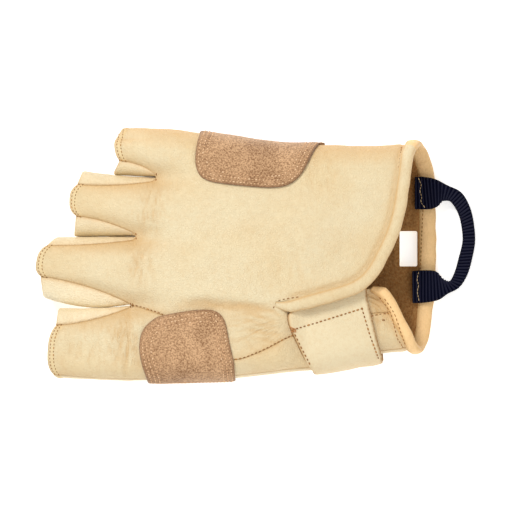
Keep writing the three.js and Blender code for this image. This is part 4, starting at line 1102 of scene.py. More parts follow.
def patch_surface(name):
    """The surface of a patch or of the tab, cut along its outlines."""
    x_range, side, top_y, under_y, back, under = PATCHES[name]
    is_tab = name == "wrist_tab"
    xs = lerp(x_range[0], x_range[1], spread(*x_range))
    grid, on_back = around_edge(xs, side, top_y, under_y, sunk_at if is_tab else np.zeros_like)
    if is_tab:
        grid = stand_off(grid)
    x, y = grid[..., 0], grid[..., 1]
    outside = np.where(on_back, outside_of(back, x, y), outside_of(under, x, y))
    surface = Surface()
    surface.add(name, grid, side == "pinky", outside)
    return surface.merge()


# Rolled edges: chains along the free edge of the leather
ROLL_HEIGHT = 4.0
ROLL_LIFT = 0.5
ROLL_GAP = -1.1
ROLL_SIDES = 18
ROLL_STEP = 0.7
# A tapered roll grows over the first length and shrinks over the second
TAPER_IN = 12
TAPER_OUT = 8
GAP_FROM = 4
GAP_OVER = 10
# Widths at the start and end of the flap's roll, and of the cuff's, which swells between
FLAP_ROLL = (5.6, 5.0)
CUFF_ROLL_LEAST = 4.5
CUFF_ROLL_SWELL = 3
CUFF_ROLL_TURN = 1.35
FLAP_TAPERS = (0.45, 0.5)
CUFF_TAPERS = (1, 0.4)


def lengths_along(points):
    """How far along the line each of its points is."""
    return np.concatenate([[0], np.cumsum(np.linalg.norm(np.diff(points, axis=0), axis=1))])


def picked(even, along, values):
    """The columns of values, given at the places along, read at the places even."""
    return np.stack([np.interp(even, along, part) for part in values.T], axis=1)


def resample(points, step):
    """The line with evenly spaced points."""
    along = lengths_along(points)
    even = np.linspace(0, along[-1], max(2, int(along[-1] / step) + 1))
    return picked(even, along, points)


def smoothed(values, times):
    for _ in range(times):
        inner = (values[:-2] + 2 * values[1:-1] + values[2:]) / 4
        values = np.concatenate([values[:1], inner, values[-1:]])
    return values


def tube(name, points, values, material):
    """A closed tube over rings of points, with its faces turned out."""
    n, m = points.shape[:2]
    index = np.arange(n * m).reshape(n, m)
    ring = np.roll(index, -1, axis=1)
    quads = np.stack([index[:-1], ring[:-1], ring[1:], index[1:]], axis=-1).reshape(-1, 4)
    faces = quads.tolist() + [index[0, ::-1].tolist(), index[-1].tolist()]
    piece = new_piece(name, points.reshape(-1, 3), faces, values, material)
    mesh = bmesh.new()
    mesh.from_mesh(piece.data)
    bmesh.ops.recalc_face_normals(mesh, faces=mesh.faces)
    mesh.to_mesh(piece.data)
    mesh.free()
    return piece


def roll(name, chain, width, material, seed, tapers):
    """A soft rolled edge, carried along a chain of points on the free edge of the shell.

    tapers says what share of its size it has at its start and its end.
    """
    shell = glove_shell()
    tree = tree_of(shell.points)
    points = smoothed(resample(chain, ROLL_STEP), 3)
    normals = unit(smoothed(np.array([shell.normals[tree.find(p)[1]] for p in points.tolist()]), 12))
    along = np.gradient(points, axis=0)
    out = unit(np.cross(along, normals))
    t = np.linspace(0, 1, len(points))
    reach = t * len(points) * ROLL_STEP
    line = np.stack([reach, 0 * t, 0 * t + seed], axis=1)
    puckers = 1 + 0.08 * wobble(line, 2.4)
    swells = 1 + 0.06 * wobble(line, 7.0)
    from_start, from_end = reach, reach[-1] - reach
    grown = np.clip(tapers[0] + from_start / TAPER_IN, 0, 1)
    ends = grown * np.clip(tapers[1] + from_end / TAPER_OUT, 0, 1)
    opened = np.clip((from_start - GAP_FROM) / GAP_OVER, 0, 1)
    gap = ROLL_GAP * (opened if tapers[0] < 1 else np.ones(len(t)))
    wide = (width(t) - gap) * swells * ends
    high = ROLL_HEIGHT * puckers * np.where(ends < 1, ends ** 1.5, 1)
    turn = np.linspace(0, 2 * np.pi, ROLL_SIDES, endpoint=False)
    across = 0.5 - 0.5 * np.cos(turn)
    up = 0.5 * boxy(np.sin(turn), 0.75)
    rings = (
        points[:, None] + out[:, None] * (gap[:, None, None] + across[:, None] * wide[:, None, None])
        + normals[:, None] * (up[:, None] * high[:, None, None] - LEATHER / 2 + ROLL_LIFT)
    )
    # Painted shade: a tan line in the fold on the roll's inner side and a darker band where its outer side
    # turns down
    shade = 0.95 * bell((across - 0.13) / 0.10) + 0.8 * fade(1 - across, 0.15)
    zero = np.zeros(len(points) * ROLL_SIDES)
    values = {
        "wear": np.tile(shade, len(points)), "crease": zero, "hem": zero, "inside": zero,
        "wrinkled": zero + 0.2,
    }
    return tube(name, rings, values, material)


def flap_chain():
    down = flap_point(np.linspace(0, CUFF_STATIONS, 60), float(SLIT_COLUMN))
    along = flap_point(float(CUFF_STATIONS), np.linspace(SLIT_COLUMN, 0, 80))
    end = np.full(1, float(BACK_STATIONS + CUFF_STATIONS))
    over_pinky = body_side(end, True, np.linspace(0, 0.35, 8))[0]
    return np.concatenate([down, along[1:], over_pinky[1:]])


def cuff_chain():
    end = np.full(1, float(BACK_STATIONS + CUFF_STATIONS))
    m = np.linspace(0, 1, 24)
    u = np.linspace(0, LAST, 120)
    pinky = body_side(end, True, m)[0]
    index = body_side(end, False, m)[0]
    palm = palm_point(end[0], u)
    lobe = lobe_point(float(CUFF_STATIONS), np.linspace(LAST, SLIT_COLUMN, 50))
    return np.concatenate([pinky[3:], palm[1:], index[::-1][1:], lobe[1:]])


# Thumb tucked under the palm: centre, tilt and half sizes of its rings
THUMB_RINGS = rows(
    "t x z turn half wide",
    (0, 7.0, 15.5, 90, 9.3, 10.5), (1, 7.0, 14.0, 88, 9.3, 10.5), (2, 5.0, 11.0, 62, 8.6, 10.8),
    (3, 0.5, 8.0, 32, 7.5, 11.2), (4, -7.0, 6.9, 10, 6.7, 11.6), (5, -20.0, 6.7, 0, 6.6, 12.0),
    (6, -33.0, 6.7, 0, 6.6, 12.2), (7, -45.0, 6.6, 0, 6.5, 12.6),
)
THUMB_Y = -35.2
THUMB_SQUARE = 0.8


def thumb_surface():
    t = np.linspace(0, 7, 85)[:, None]
    turn = np.linspace(0, 2 * np.pi, 73)
    ring = {key: column(THUMB_RINGS, "t", key, t) for key in THUMB_RINGS if key != "t"}
    high = ring["half"] * boxy(np.sin(turn), THUMB_SQUARE)
    across = ring["wide"] * boxy(np.cos(turn), THUMB_SQUARE)
    tilt = np.radians(ring["turn"])
    grid = stack(ring["x"] - high * np.sin(tilt), THUMB_Y + across, ring["z"] + high * np.cos(tilt))
    surface = Surface()
    surface.add("thumb", grid, True)
    return surface.merge()


# Pull loop: outer and inner edge of the webbing, flat where it is sewn on, folded between
PULL_LOOP = rows(
    "t out_x out_y in_x in_y z thick",
    (0, 74.2, 36.3, 74.2, 21.2, 5.6, 1.6), (1, 78.6, 36.2, 80.1, 21.2, 5.8, 1.6),
    (2, 83.6, 35.1, 84.1, 22.4, 5.8, 1.6), (3, 88.9, 32.4, 87.1, 25.1, 5.4, 2.4),
    (4, 94.9, 29.5, 90.3, 24.7, 4.6, 3.0), (5, 98.3, 24.8, 93.4, 20.3, 3.8, 3.2),
    (6, 100.7, 17.9, 95.1, 15.2, 3.0, 3.2), (7, 101.9, 7.6, 96.0, 7.4, 2.4, 3.2),
    (8, 100.6, -1.1, 94.1, -1.6, 2.6, 3.2), (9, 98.2, -9.2, 92.0, -8.6, 3.2, 3.2),
    (10, 94.4, -15.0, 89.5, -12.2, 4.2, 3.0), (11, 89.0, -18.0, 86.6, -10.8, 5.6, 2.4),
    (12, 84.7, -20.8, 83.7, -7.6, 6.6, 1.6), (13, 78.7, -22.0, 78.7, -7.0, 6.6, 1.6),
    (14, 73.1, -22.3, 72.9, -7.3, 6.4, 1.6),
)


def loop_frames(count):
    """Centre, half width and thickness along the webbing, evenly spaced."""
    t = np.linspace(0, 14, 600)
    row = {key: column(PULL_LOOP, "t", key, t) for key in PULL_LOOP if key != "t"}
    outer = stack(row["out_x"], row["out_y"], row["z"])
    inner = stack(row["in_x"], row["in_y"], row["z"])
    centre = (outer + inner) / 2
    along = lengths_along(centre)
    even = np.linspace(0, along[-1], count)
    parts = (centre, (outer - inner) / 2, row["thick"][:, None])
    return *(picked(even, along, part) for part in parts), even


# Geometry Nodes trees
def tree_with(name, inputs):
    tree = bpy.data.node_groups.new(name, "GeometryNodeTree")
    tree.interface.new_socket("Geometry", in_out="INPUT", socket_type="NodeSocketGeometry")
    for label, kind, default in inputs:
        socket = tree.interface.new_socket(label, in_out="INPUT", socket_type=kind)
        if default is not None:
            socket.default_value = default
    tree.interface.new_socket("Geometry", in_out="OUTPUT", socket_type="NodeSocketGeometry")
    return tree


def add_node(tree, kind, inputs=None, **settings):
    """A node with its settings and its inputs, each a value or another node's output."""
    node = tree.nodes.new(kind)
    for key, value in settings.items():
        setattr(node, key, value)
    for key, value in (inputs or {}).items():
        if isinstance(value, bpy.types.NodeSocket):
            tree.links.new(value, node.inputs[key])
        else:
            node.inputs[key].default_value = value
    return node


def uneven(tree, low, high, seed):
    """A random number for each stitch or rib."""
    node = add_node(tree, "FunctionNodeRandomValue", {2: low, 3: high, "Seed": seed}, data_type="FLOAT")
    return node.outputs[1]


def turned_to(tree, along, up):
    """A rotation that brings X along one vector and Z as near as it goes to another."""
    kind = "FunctionNodeAlignRotationToVector"
    first = add_node(tree, kind, {"Vector": along}, axis="X").outputs[0]
    return add_node(tree, kind, {"Rotation": first, "Vector": up}, axis="Z", pivot_axis="X").outputs[0]


def vector_named(tree, name):
    node = add_node(tree, "GeometryNodeInputNamedAttribute", {"Name": name}, data_type="FLOAT_VECTOR")
    return node.outputs[0]


def put_out(tree, instances, material):
    """The last nodes of a tree: real, smooth geometry with its material."""
    real = add_node(tree, "GeometryNodeRealizeInstances", {"Geometry": instances})
    smooth = add_node(tree, "GeometryNodeSetShadeSmooth", {"Geometry": real.outputs[0]})
    painted = add_node(tree, "GeometryNodeSetMaterial", {
        "Geometry": smooth.outputs[0], "Material": material,
    })
    add_node(tree, "NodeGroupOutput", {"Geometry": painted.outputs[0]})
    return tree


def stitch_tree():
    """Stitches along lines: each line is resampled and carries one grain of thread a step."""
    tree = tree_with("Stitch rows", [
        ("Pitch", "NodeSocketFloat", 0.002),
        ("Length", "NodeSocketFloat", 0.0015),
        ("Thickness", "NodeSocketFloat", 0.0006),
        ("Seed", "NodeSocketInt", 7),
        ("Thread", "NodeSocketMaterial", None),
    ])
    given = add_node(tree, "NodeGroupInput").outputs
    curve = add_node(tree, "GeometryNodeMeshToCurve", {"Mesh": given["Geometry"]})
    even = add_node(tree, "GeometryNodeResampleCurve", {
        "Curve": curve.outputs[0], "Length": given["Pitch"],
    }, mode="LENGTH")
    tangent = add_node(tree, "GeometryNodeInputTangent").outputs[0]
    grain = add_node(tree, "GeometryNodeMeshUVSphere", {"Segments": 6, "Rings": 5, "Radius": 0.5})
    size = add_node(tree, "ShaderNodeCombineXYZ", {
        "X": given["Length"], "Y": given["Thickness"], "Z": given["Thickness"],
    })
    grown = add_node(tree, "ShaderNodeVectorMath", {
        0: size.outputs[0], "Scale": uneven(tree, 0.85, 1.15, given["Seed"]),
    }, operation="SCALE")
    placed = add_node(tree, "GeometryNodeInstanceOnPoints", {
        "Points": even.outputs[0], "Instance": grain.outputs[0],
        "Rotation": turned_to(tree, tangent, vector_named(tree, "up")), "Scale": grown.outputs[0],
    })
    stored = add_node(tree, "GeometryNodeStoreNamedAttribute", {
        "Geometry": placed.outputs[0], "Name": "shade", "Value": uneven(tree, 0.0, 1.0, given["Seed"]),
    }, data_type="FLOAT", domain="INSTANCE")
    return put_out(tree, stored.outputs[0], given["Thread"])


def rib_tree():
    """Ribs of webbing: one long grain lies across the band at each point of its centre line."""
    tree = tree_with("Webbing ribs", [
        ("Width", "NodeSocketFloat", 0.0011),
        ("Height", "NodeSocketFloat", 0.0007),
        ("Seed", "NodeSocketInt", 3),
        ("Yarn", "NodeSocketMaterial", None),
    ])
    given = add_node(tree, "NodeGroupInput").outputs
    points = add_node(tree, "GeometryNodeMeshToPoints", {"Mesh": given["Geometry"]})
    across = vector_named(tree, "across")
    half = add_node(tree, "ShaderNodeVectorMath", {0: across}, operation="LENGTH")
    bar = add_node(tree, "GeometryNodeMeshCylinder", {
        "Vertices": 10, "Side Segments": 6, "Radius": 0.5, "Depth": 1.96,
    })
    lying = add_node(tree, "GeometryNodeTransform", {
        "Geometry": bar.outputs[0], "Rotation": (0.0, math.radians(90), 0.0),
    })
    wide = maths(tree, "MULTIPLY", given["Width"], uneven(tree, 0.92, 1.08, given["Seed"]))
    size = add_node(tree, "ShaderNodeCombineXYZ", {
        "X": half.outputs["Value"], "Y": wide, "Z": given["Height"],
    })
    placed = add_node(tree, "GeometryNodeInstanceOnPoints", {
        "Points": points.outputs[0], "Instance": lying.outputs[0],
        "Rotation": turned_to(tree, across, (0.0, 0.0, 1.0)), "Scale": size.outputs[0],
    })
    return put_out(tree, placed.outputs[0], given["Yarn"])


def run_tree(name, carrier, tree, inputs):
    """The carrier's mesh put through a node tree and kept as a plain mesh object."""
    modifier = carrier.modifiers.new(tree.name, "NODES")
    modifier.node_group = tree
    for item in tree.interface.items_tree:
        if item.item_type == "SOCKET" and item.in_out == "INPUT" and item.name in inputs:
            modifier[item.identifier] = inputs[item.name]
    bpy.context.view_layer.update()
    graph = bpy.context.evaluated_depsgraph_get()
    mesh = bpy.data.meshes.new_from_object(carrier.evaluated_get(graph))
    carrier.modifiers.remove(modifier)
    bpy.data.objects.remove(carrier)
    mesh.name = name
    return in_scene(name, mesh)


def line_carrier(name, lines, vectors):
    """A mesh of open lines in millimetres, with a vector for each point."""
    points, edges, start = [], [], 0
    for line in lines:
        points.append(line)
        edges += [(start + n, start + n + 1) for n in range(len(line) - 1)]
        start += len(line)
    mesh = bpy.data.meshes.new(name)
    mesh.from_pydata((np.concatenate(points) * MM).tolist(), edges, [])
    store(mesh, vectors, "FLOAT_VECTOR", "vector")
    return in_scene(name, mesh)


def skin_of(*names):
    """A search tree over the skins of these pieces, in millimetres."""
    points, faces = [], []
    for name in names:
        mesh = bpy.data.objects[name].data
        start = len(points)
        points += [v.co / MM for v in mesh.vertices]
        faces += [[start + v for v in p.vertices] for p in mesh.polygons]
    return BVHTree.FromPolygons(points, faces)


def laid_on(skin, line, down, step=0.5):
    """A line seen from above (or below), laid on a skin. Points that miss it are left out."""
    flat = resample(np.column_stack([np.asarray(line, float)[:, :2], np.zeros(len(line))]), step)
    way = Vector((0, 0, -1 if down else 1))
    points, ups = [], []
    for x, y, _ in flat.tolist():
        place, normal, _, _ = skin.ray_cast(Vector((x, y, 80 if down else -20)), way)
        if place is not None:
            points.append(list(place))
            ups.append(list(normal if normal.dot(way) < 0 else -normal))
    return np.array(points).reshape(-1, 3), np.array(ups).reshape(-1, 3)


def sew(name, rows_laid, pitch, length, thickness, thread, seed):
    """Thread pieces: rows of stitches lying on a skin."""
    kept = [(p, u) for p, u in rows_laid if len(p) > 1]
    lines = [p + u * thickness * 0.12 / MM for p, u in kept]
    carrier = line_carrier(name + "_lines", lines, {"up": np.concatenate([u for _, u in kept])})
    return run_tree(name, carrier, stitch_tree(), {
        "Pitch": pitch, "Length": length, "Thickness": thickness, "Seed": seed, "Thread": thread,
    })


# Shader node groups
def shader_group(name, colours, numbers, outputs):
    """A group with colour and number inputs. Its output Colour is a colour, the others are numbers."""
    group = bpy.data.node_groups.new(name, "ShaderNodeTree")
    for label in colours:
        socket = group.interface.new_socket(label, in_out="INPUT", socket_type="NodeSocketColor")
        socket.default_value = (1, 1, 1, 1)
    for label, default in numbers.items():
        socket = group.interface.new_socket(label, in_out="INPUT", socket_type="NodeSocketFloat")
        socket.default_value = default
    for label in outputs:
        kind = "NodeSocketColor" if label == "Colour" else "NodeSocketFloat"
        group.interface.new_socket(label, in_out="OUTPUT", socket_type=kind)
    return group


def mix(tree, factor, a, b):
    return add_node(tree, "ShaderNodeMix", {0: factor, 6: a, 7: b}, data_type="RGBA").outputs[2]


def maths(tree, operation, *values, clamp=False):
    inputs = dict(enumerate(values))
    return add_node(tree, "ShaderNodeMath", inputs, operation=operation, use_clamp=clamp).outputs[0]


def ramp(tree, value, low, high):
    """The value stretched so that low becomes 0 and high becomes 1."""
    node = add_node(tree, "ShaderNodeMapRange", {"Value": value, "From Min": low, "From Max": high})
    return node.outputs[0]


def attribute(tree, name):
    return add_node(tree, "ShaderNodeAttribute", attribute_name=name).outputs["Fac"]


def object_place(tree):
    return add_node(tree, "ShaderNodeTexCoord").outputs["Object"]


def lumps(tree, scale, detail=2.0, distortion=0.0, roughness=0.5, vector=None):
    """Noise over the object's own coordinates, or over another vector."""
    node = add_node(tree, "ShaderNodeTexNoise", {
        "Vector": object_place(tree) if vector is None else vector,
        "Scale": scale, "Detail": detail, "Roughness": roughness, "Distortion": distortion,
    })
    return node.outputs[0]


def laid_over(tree, tone, layers):
    """A tone with colours laid over it, each by a mask and a share."""
    for mask, share, colour in layers:
        tone = mix(tree, maths(tree, "MULTIPLY", mask, share, clamp=True), tone, colour)
    return tone


def streaks(tree, vector, scale, mask):
    """Long wrinkles along the vector's Y, where the mask is, painted dark as shade in their folds."""
    lines = lumps(tree, scale, 4.0, 0.5, 0.55, vector)
    return maths(tree, "MULTIPLY", ramp(tree, lines, 0.46, 0.66), attribute(tree, mask))


def fan_wrinkles(tree):
    """Wrinkles that spread from the tab's corner, by the angle and the distance from there."""
    vector = add_node(tree, "ShaderNodeCombineXYZ", {
        0: attribute(tree, "fan_angle"), 1: attribute(tree, "fan_reach"),
    }).outputs[0]
    return streaks(tree, vector, 1.0, "fan")


def base_wrinkles(tree):
    """Wrinkles across the bases of the fingers."""
    vector = add_node(tree, "ShaderNodeVectorMath", {
        0: object_place(tree), 1: WRINKLE_STRETCH,
    }, operation="MULTIPLY").outputs[0]
    return streaks(tree, vector, WRINKLE_SCALE, "wrinkled")


def pebbles(tree, scale):
    """The small cells of the grain, with their edges bent by noise."""
    place = object_place(tree)
    push = add_node(tree, "ShaderNodeTexNoise", {"Vector": place, "Scale": 260.0}).outputs[1]
    pushed = add_node(tree, "ShaderNodeVectorMath", {0: push, "Scale": 0.0016}, operation="SCALE")
    bent = add_node(tree, "ShaderNodeVectorMath", {0: place, 1: pushed.outputs[0]}, operation="ADD")
    cells = add_node(tree, "ShaderNodeTexVoronoi", {
        "Vector": bent.outputs[0], "Scale": scale,
    }, feature="DISTANCE_TO_EDGE")
    return ramp(tree, cells.outputs[0], 0.0, 0.28)


def leather_group():
    """Grain leather: drifting tone, edges darkened by wear and painted shade, painted shade in creases,
    dips and wrinkles, warm hems and a brown flesh side.
    """
    group = shader_group(
        "Grain leather tone", ("Colour", "Deep", "Edge", "Hem", "Flesh"), {"Grain scale": 1},
        ("Colour", "Roughness", "Height"),
    )
    given = add_node(group, "NodeGroupInput").outputs
    edge, inside = given["Edge"], attribute(group, "inside")
    fine = ramp(group, lumps(group, 620.0, 4.0, 1.2), 0.46, 0.66)
    lines = maths(group, "ADD", fan_wrinkles(group), base_wrinkles(group))
    nap = ramp(group, lumps(group, 900.0, 4.0), 0.3, 0.7)
    tone = laid_over(group, given["Colour"], (
        (ramp(group, lumps(group, 20.0, 3.0, 0.6), 0.40, 0.64), 0.7, given["Deep"]),
        (ramp(group, lumps(group, 95.0, 4.0, 0.8), 0.45, 0.72), 0.08, edge),
        (fine, 0.15, edge),
        (attribute(group, "hem"), 1.0, given["Hem"]),
        # Painted shade: creases, dips and seams, and the sides turned from the light, take the edge tan;
        # the edges are partly worn too
        (attribute(group, "crease"), 0.6, edge),
        (attribute(group, "wear"), 0.85, edge),
        # Painted shade: the wrinkles are darkened in their folds; the same lines also bump the surface
        (lines, 0.56, edge),
        (inside, 1.0, laid_over(group, given["Flesh"], ((nap, 0.35, edge),))),
    ))
    wrinkle = maths(group, "MULTIPLY", lumps(group, 380.0, 4.0, 1.0), 0.8)
    pebble = maths(group, "MULTIPLY", pebbles(group, given["Grain scale"]), 0.5)
    height = maths(group, "SUBTRACT", maths(group, "ADD", pebble, wrinkle), lines)
    rough = maths(group, "ADD", 0.5, maths(group, "MULTIPLY", fine, 0.12))
    rough = maths(group, "ADD", rough, maths(group, "MULTIPLY", inside, 0.35), clamp=True)
    add_node(group, "NodeGroupOutput", {"Colour": tone, "Roughness": rough, "Height": height})
    return group


def suede_group():
    """Suede: short mottled nap, darker along its edge and stitch rows."""
    group = shader_group("Suede nap", ("Light", "Dark", "Edge"), {}, ("Colour", "Height"))
    given = add_node(group, "NodeGroupInput").outputs
    nap = ramp(group, lumps(group, 1400.0, 3.0, 0.3, 0.65), 0.41, 0.61)
    brushed = ramp(group, lumps(group, 60.0, 3.0, 1.0), 0.35, 0.7)
    both = maths(group, "ADD", maths(group, "MULTIPLY", nap, 0.75), maths(group, "MULTIPLY", brushed, 0.35))
    tone = laid_over(group, given["Light"], (
        (both, 1.0, given["Dark"]),
        (attribute(group, "wear"), 0.7, given["Edge"]),
        (attribute(group, "crease"), 0.35, given["Edge"]),
    ))
    add_node(group, "NodeGroupOutput", {"Colour": tone, "Height": lumps(group, 1300.0, 4.0)})
    return group


def yarn_group():
    """Woven or twisted yarn: fine strands in two tones."""
    group = shader_group("Yarn", ("Light", "Dark"), {"Scale": 2000.0}, ("Colour", "Height"))
    given = add_node(group, "NodeGroupInput").outputs
    strands = lumps(group, given["Scale"], 3.0, 1.5)
    tone = mix(group, ramp(group, strands, 0.35, 0.65), given["Light"], given["Dark"])
    add_node(group, "NodeGroupOutput", {"Colour": tone, "Height": strands})
    return group


def new_material(name, settings):
    """A material and its shader, with these of the shader's inputs set."""
    material = bpy.data.materials.new(name)
    material.use_nodes = True
    shader = material.node_tree.nodes["Principled BSDF"]
    for key, value in settings.items():
        shader.inputs[key].default_value = value
    return material, shader


def material_with(name, group, inputs, bump, roughness=None, sheen=0.0, specular=0.5):
    """A material: its tone group, a bump from the group's height, and the shader."""
    material, shader = new_material(name, {"Specular IOR Level": specular, "Sheen Weight": sheen})
    tree = material.node_tree
    tone = add_node(tree, "ShaderNodeGroup", inputs, node_tree=group)
    tree.links.new(tone.outputs["Colour"], shader.inputs["Base Color"])
    if roughness is None:
        tree.links.new(tone.outputs["Roughness"], shader.inputs["Roughness"])
    else:
        shader.inputs["Roughness"].default_value = roughness
    strength, distance = bump
    relief = add_node(tree, "ShaderNodeBump", {
        "Height": tone.outputs["Height"], "Strength": strength, "Distance": distance,
    })
    tree.links.new(relief.outputs[0], shader.inputs["Normal"])
    return material


def rgba(colour, share=1.0):
    return (*[channel * share for channel in colour[:3]], 1.0)


@cache
def finishes():
    """Every material of the glove, by name."""
    c = bpy.context.scene.glove_colours
    leather, suede, yarn = leather_group(), suede_group(), yarn_group()
    flesh = rgba(c.flesh)

    def grain(name, base, deep, bump=0.5):
        return material_with(name, leather, {
            "Colour": rgba(base), "Deep": rgba(deep), "Edge": rgba(c.edge), "Hem": rgba(c.hem),
            "Flesh": flesh, "Grain scale": 900.0,
        }, (bump * 1.2, 0.0005), specular=0.4)

    return {
        "grain": grain("Pale grain leather", c.leather, c.leather_deep),
        # Painted light: gussets, palm and thumb use the leather painted lighter, for the less light that
        # falls on them
        "gusset": grain("Gusset leather", c.side_leather_painted_lighter, c.leather),
        "palm": grain("Palm leather", c.side_leather_painted_lighter, c.leather),
        "roll": grain("Rolled edge leather", c.leather, c.leather_deep, 0.45),
        "cuff": grain("Cuff hem leather", c.cuff, c.cuff, 0.45),
        "tab": grain("Tab leather", c.tab, c.leather, 0.35),
        "suede": material_with("Tan suede", suede, {
            "Light": rgba(c.suede), "Dark": rgba(c.suede_dark), "Edge": rgba(c.suede_edge),
        }, (0.9, 0.0005), roughness=0.95, sheen=0.25, specular=0.1),
        "webbing": material_with("Navy webbing", yarn, {
            "Light": rgba(c.webbing), "Dark": rgba(c.webbing, 0.6), "Scale": 2600.0,
        }, (0.6, 0.0002), roughness=0.55, specular=0.2),
        # Painted shade: the ground between the ribs is a darker copy of the webbing
        "webbing ground": material_with("Webbing ground", yarn, {
            "Light": rgba(c.webbing, 0.55), "Dark": rgba(c.webbing, 0.3), "Scale": 2600.0,
        }, (0.6, 0.0002), roughness=0.9, specular=0.05),
        "hook": material_with("Hook pad", yarn, {
            "Light": (0.03, 0.025, 0.02, 1), "Dark": (0.01, 0.009, 0.008, 1), "Scale": 1500.0,
        }, (0.9, 0.0004), roughness=0.9, specular=0.2),
        "thread": thread_material("Brown thread", c.thread, c.thread_light),
        "knot thread": thread_material("Knot thread", c.knot_thread, c.knot_thread),
        "pale thread": thread_material("Pale thread", c.pale_thread, c.pale_thread),
        "patch thread": thread_material("Patch thread", c.suede, c.suede_thread),
    }


def thread_material(name, dark, light):
    """Waxed thread, each stitch a little darker or lighter by its own value."""
    material, shader = new_material(name, {"Roughness": 0.7, "Specular IOR Level": 0.3})
    tree = material.node_tree
    tone = mix(tree, ramp(tree, attribute(tree, "shade"), 0.45, 0.95), rgba(dark), rgba(light))
    tree.links.new(tone, shader.inputs["Base Color"])
    return material


@cache
def glove_shell():
    return build_shell()


# Settings
def length_property(name, description, default):
    return FloatProperty(name=name, description=description, default=default, unit="LENGTH")


class GloveSizes(bpy.types.PropertyGroup):
    leather: length_property("Leather", "Thickness of the grain leather", 0.0015)
    suede: length_property("Suede", "Thickness of the suede patches", 0.0013)
    tab: length_property("Tab", "Thickness of the wrist tab", 0.0018)
    seam_gap: length_property("Seam", "Gap between panels at a seam", 0.00008)
    stitch_pitch: length_property("Stitch pitch", "From one stitch to the next", 0.0019)
    stitch_length: length_property("Stitch length", "Length of one stitch", 0.00135)
    stitch_thickness: length_property("Thread", "Thickness of the thread", 0.00048)
    rib_pitch: length_property("Webbing rib", "From one rib of the webbing to the next", 0.00145)
    seed: IntProperty(name="Seed", description="Seed of the uneven stitches and ribs", default=7)


def colour_property(name, description, default):
    return FloatVectorProperty(
        name=name, description=description, default=default, subtype="COLOR", size=3, min=0, max=1)


class GloveColours(bpy.types.PropertyGroup):
    leather: colour_property("Leather", "Pale straw grain leather", (0.765, 0.65, 0.42))
    # Painted light: gussets, palm and thumb get this lighter copy of the leather, to make up for the less
    # light that falls on them
    side_leather_painted_lighter: colour_property("Leather side", "Gussets and palm, in less light", (0.96, 0.85, 0.60))
    leather_deep: colour_property("Deep leather", "Its deeper tone", (0.75, 0.585, 0.33))
    edge: colour_property("Edge", "Worn edges, seams and creases", (0.62, 0.37, 0.14))
    # Edge tan: the colour of worn edges, and of the painted shade in seams, creases, wrinkles and on sides
    # turned from the light
    hem: colour_property("Hem", "Warm band of a turned hem", (0.80, 0.64, 0.36))
    flesh: colour_property("Flesh side", "Brown inside of the leather", (0.25, 0.098, 0.018))
    cuff: colour_property("Cuff hem", "Rolled hem of the cuff", (0.95, 0.63, 0.30))
    tab: colour_property("Tab", "Wrist tab", (0.82, 0.70, 0.46))
    suede: colour_property("Suede", "Light tone of the nap", (0.70, 0.435, 0.24))
    suede_dark: colour_property("Suede shade", "Dark tone of the nap", (0.25, 0.125, 0.056))
    suede_edge: colour_property("Suede edge", "Cut edge of the suede", (0.22, 0.11, 0.05))
    thread: colour_property("Thread", "Dark brown thread", (0.25, 0.095, 0.02))
    thread_light: colour_property("Thread light", "Lighter stitches", (0.48, 0.23, 0.07))
    knot_thread: colour_property("Knots", "Close orange-brown stitches on the tab", (0.50, 0.21, 0.07))
    suede_thread: colour_property("Patch thread", "Thread of the suede patches", (0.80, 0.55, 0.335))
    pale_thread: colour_property("Pale thread", "Tan thread on the webbing", (0.62, 0.45, 0.25))
    webbing: colour_property("Webbing", "Dark navy webbing", (0.004, 0.005, 0.024))
    floor: colour_property("Floor", "Plain pale floor", (0.93, 0.93, 0.925))


def sizes():
    """Thickness of the leathers and the seam gap, in millimetres."""
    s = bpy.context.scene.glove_sizes
    return s.leather / MM, s.suede / MM, s.tab / MM, s.seam_gap / MM


class GLOVE_OT_panels(bpy.types.Operator):
    """Back, index and palm panels and the three strips between the fingers"""
    bl_idname = "glove.panels"
    bl_label = "Leather panels"

    def execute(self, context):
        leather, _, _, gap = sizes()
        finish = finishes()
        for name, look, slot, relief in (
            ("back_panel", "grain", "grain_leather", leather_relief),
            ("index_panel", "grain", "grain_leather", leather_relief),
            ("palm_panel", "palm", "palm_leather", leather_relief),
            *[(gusset, "gusset", "gusset_leather", strip_relief) for gusset in GUSSETS],
        ):
            piece = wall(name + "_leather", glove_shell(), 0.0, leather, relief,
                         finish[look], seam=gap / 2, tag=name)
            declare(piece, slot, name)
        return {"FINISHED"}


class GLOVE_OT_thumb(bpy.types.Operator):
    """Short open thumb, tucked under the palm"""
    bl_idname = "glove.thumb"
    bl_label = "Thumb"

    def execute(self, context):
        leather = sizes()[0]
        piece = wall("thumb_leather", thumb_surface(), 0.0, leather, plain_relief,
                     finishes()["palm"], tag="thumb")
        declare(piece, "palm_leather", "thumb")
        return {"FINISHED"}


class GLOVE_OT_rolls(bpy.types.Operator):
    """Rolled edges of the flap and of the cuff"""
    bl_idname = "glove.rolls"
    bl_label = "Rolled edges"

    def execute(self, context):
        finish = finishes()
        flap = roll("flap_roll", flap_chain(), flap_roll_width, finish["roll"], 1.0, FLAP_TAPERS)
        declare(flap, "binding_leather", "flap_binding")
        cuff = roll("cuff_roll", cuff_chain(), cuff_roll_width, finish["cuff"], 5.0, CUFF_TAPERS)
        declare(cuff, "binding_leather", "cuff_binding")
        return {"FINISHED"}


def flap_roll_width(t):
    return lerp(*FLAP_ROLL, t)


def cuff_roll_width(t):
    swell = np.sqrt(np.sin(np.pi * np.clip(t * CUFF_ROLL_TURN, 0, 1)))
    return CUFF_ROLL_LEAST + CUFF_ROLL_SWELL * swell


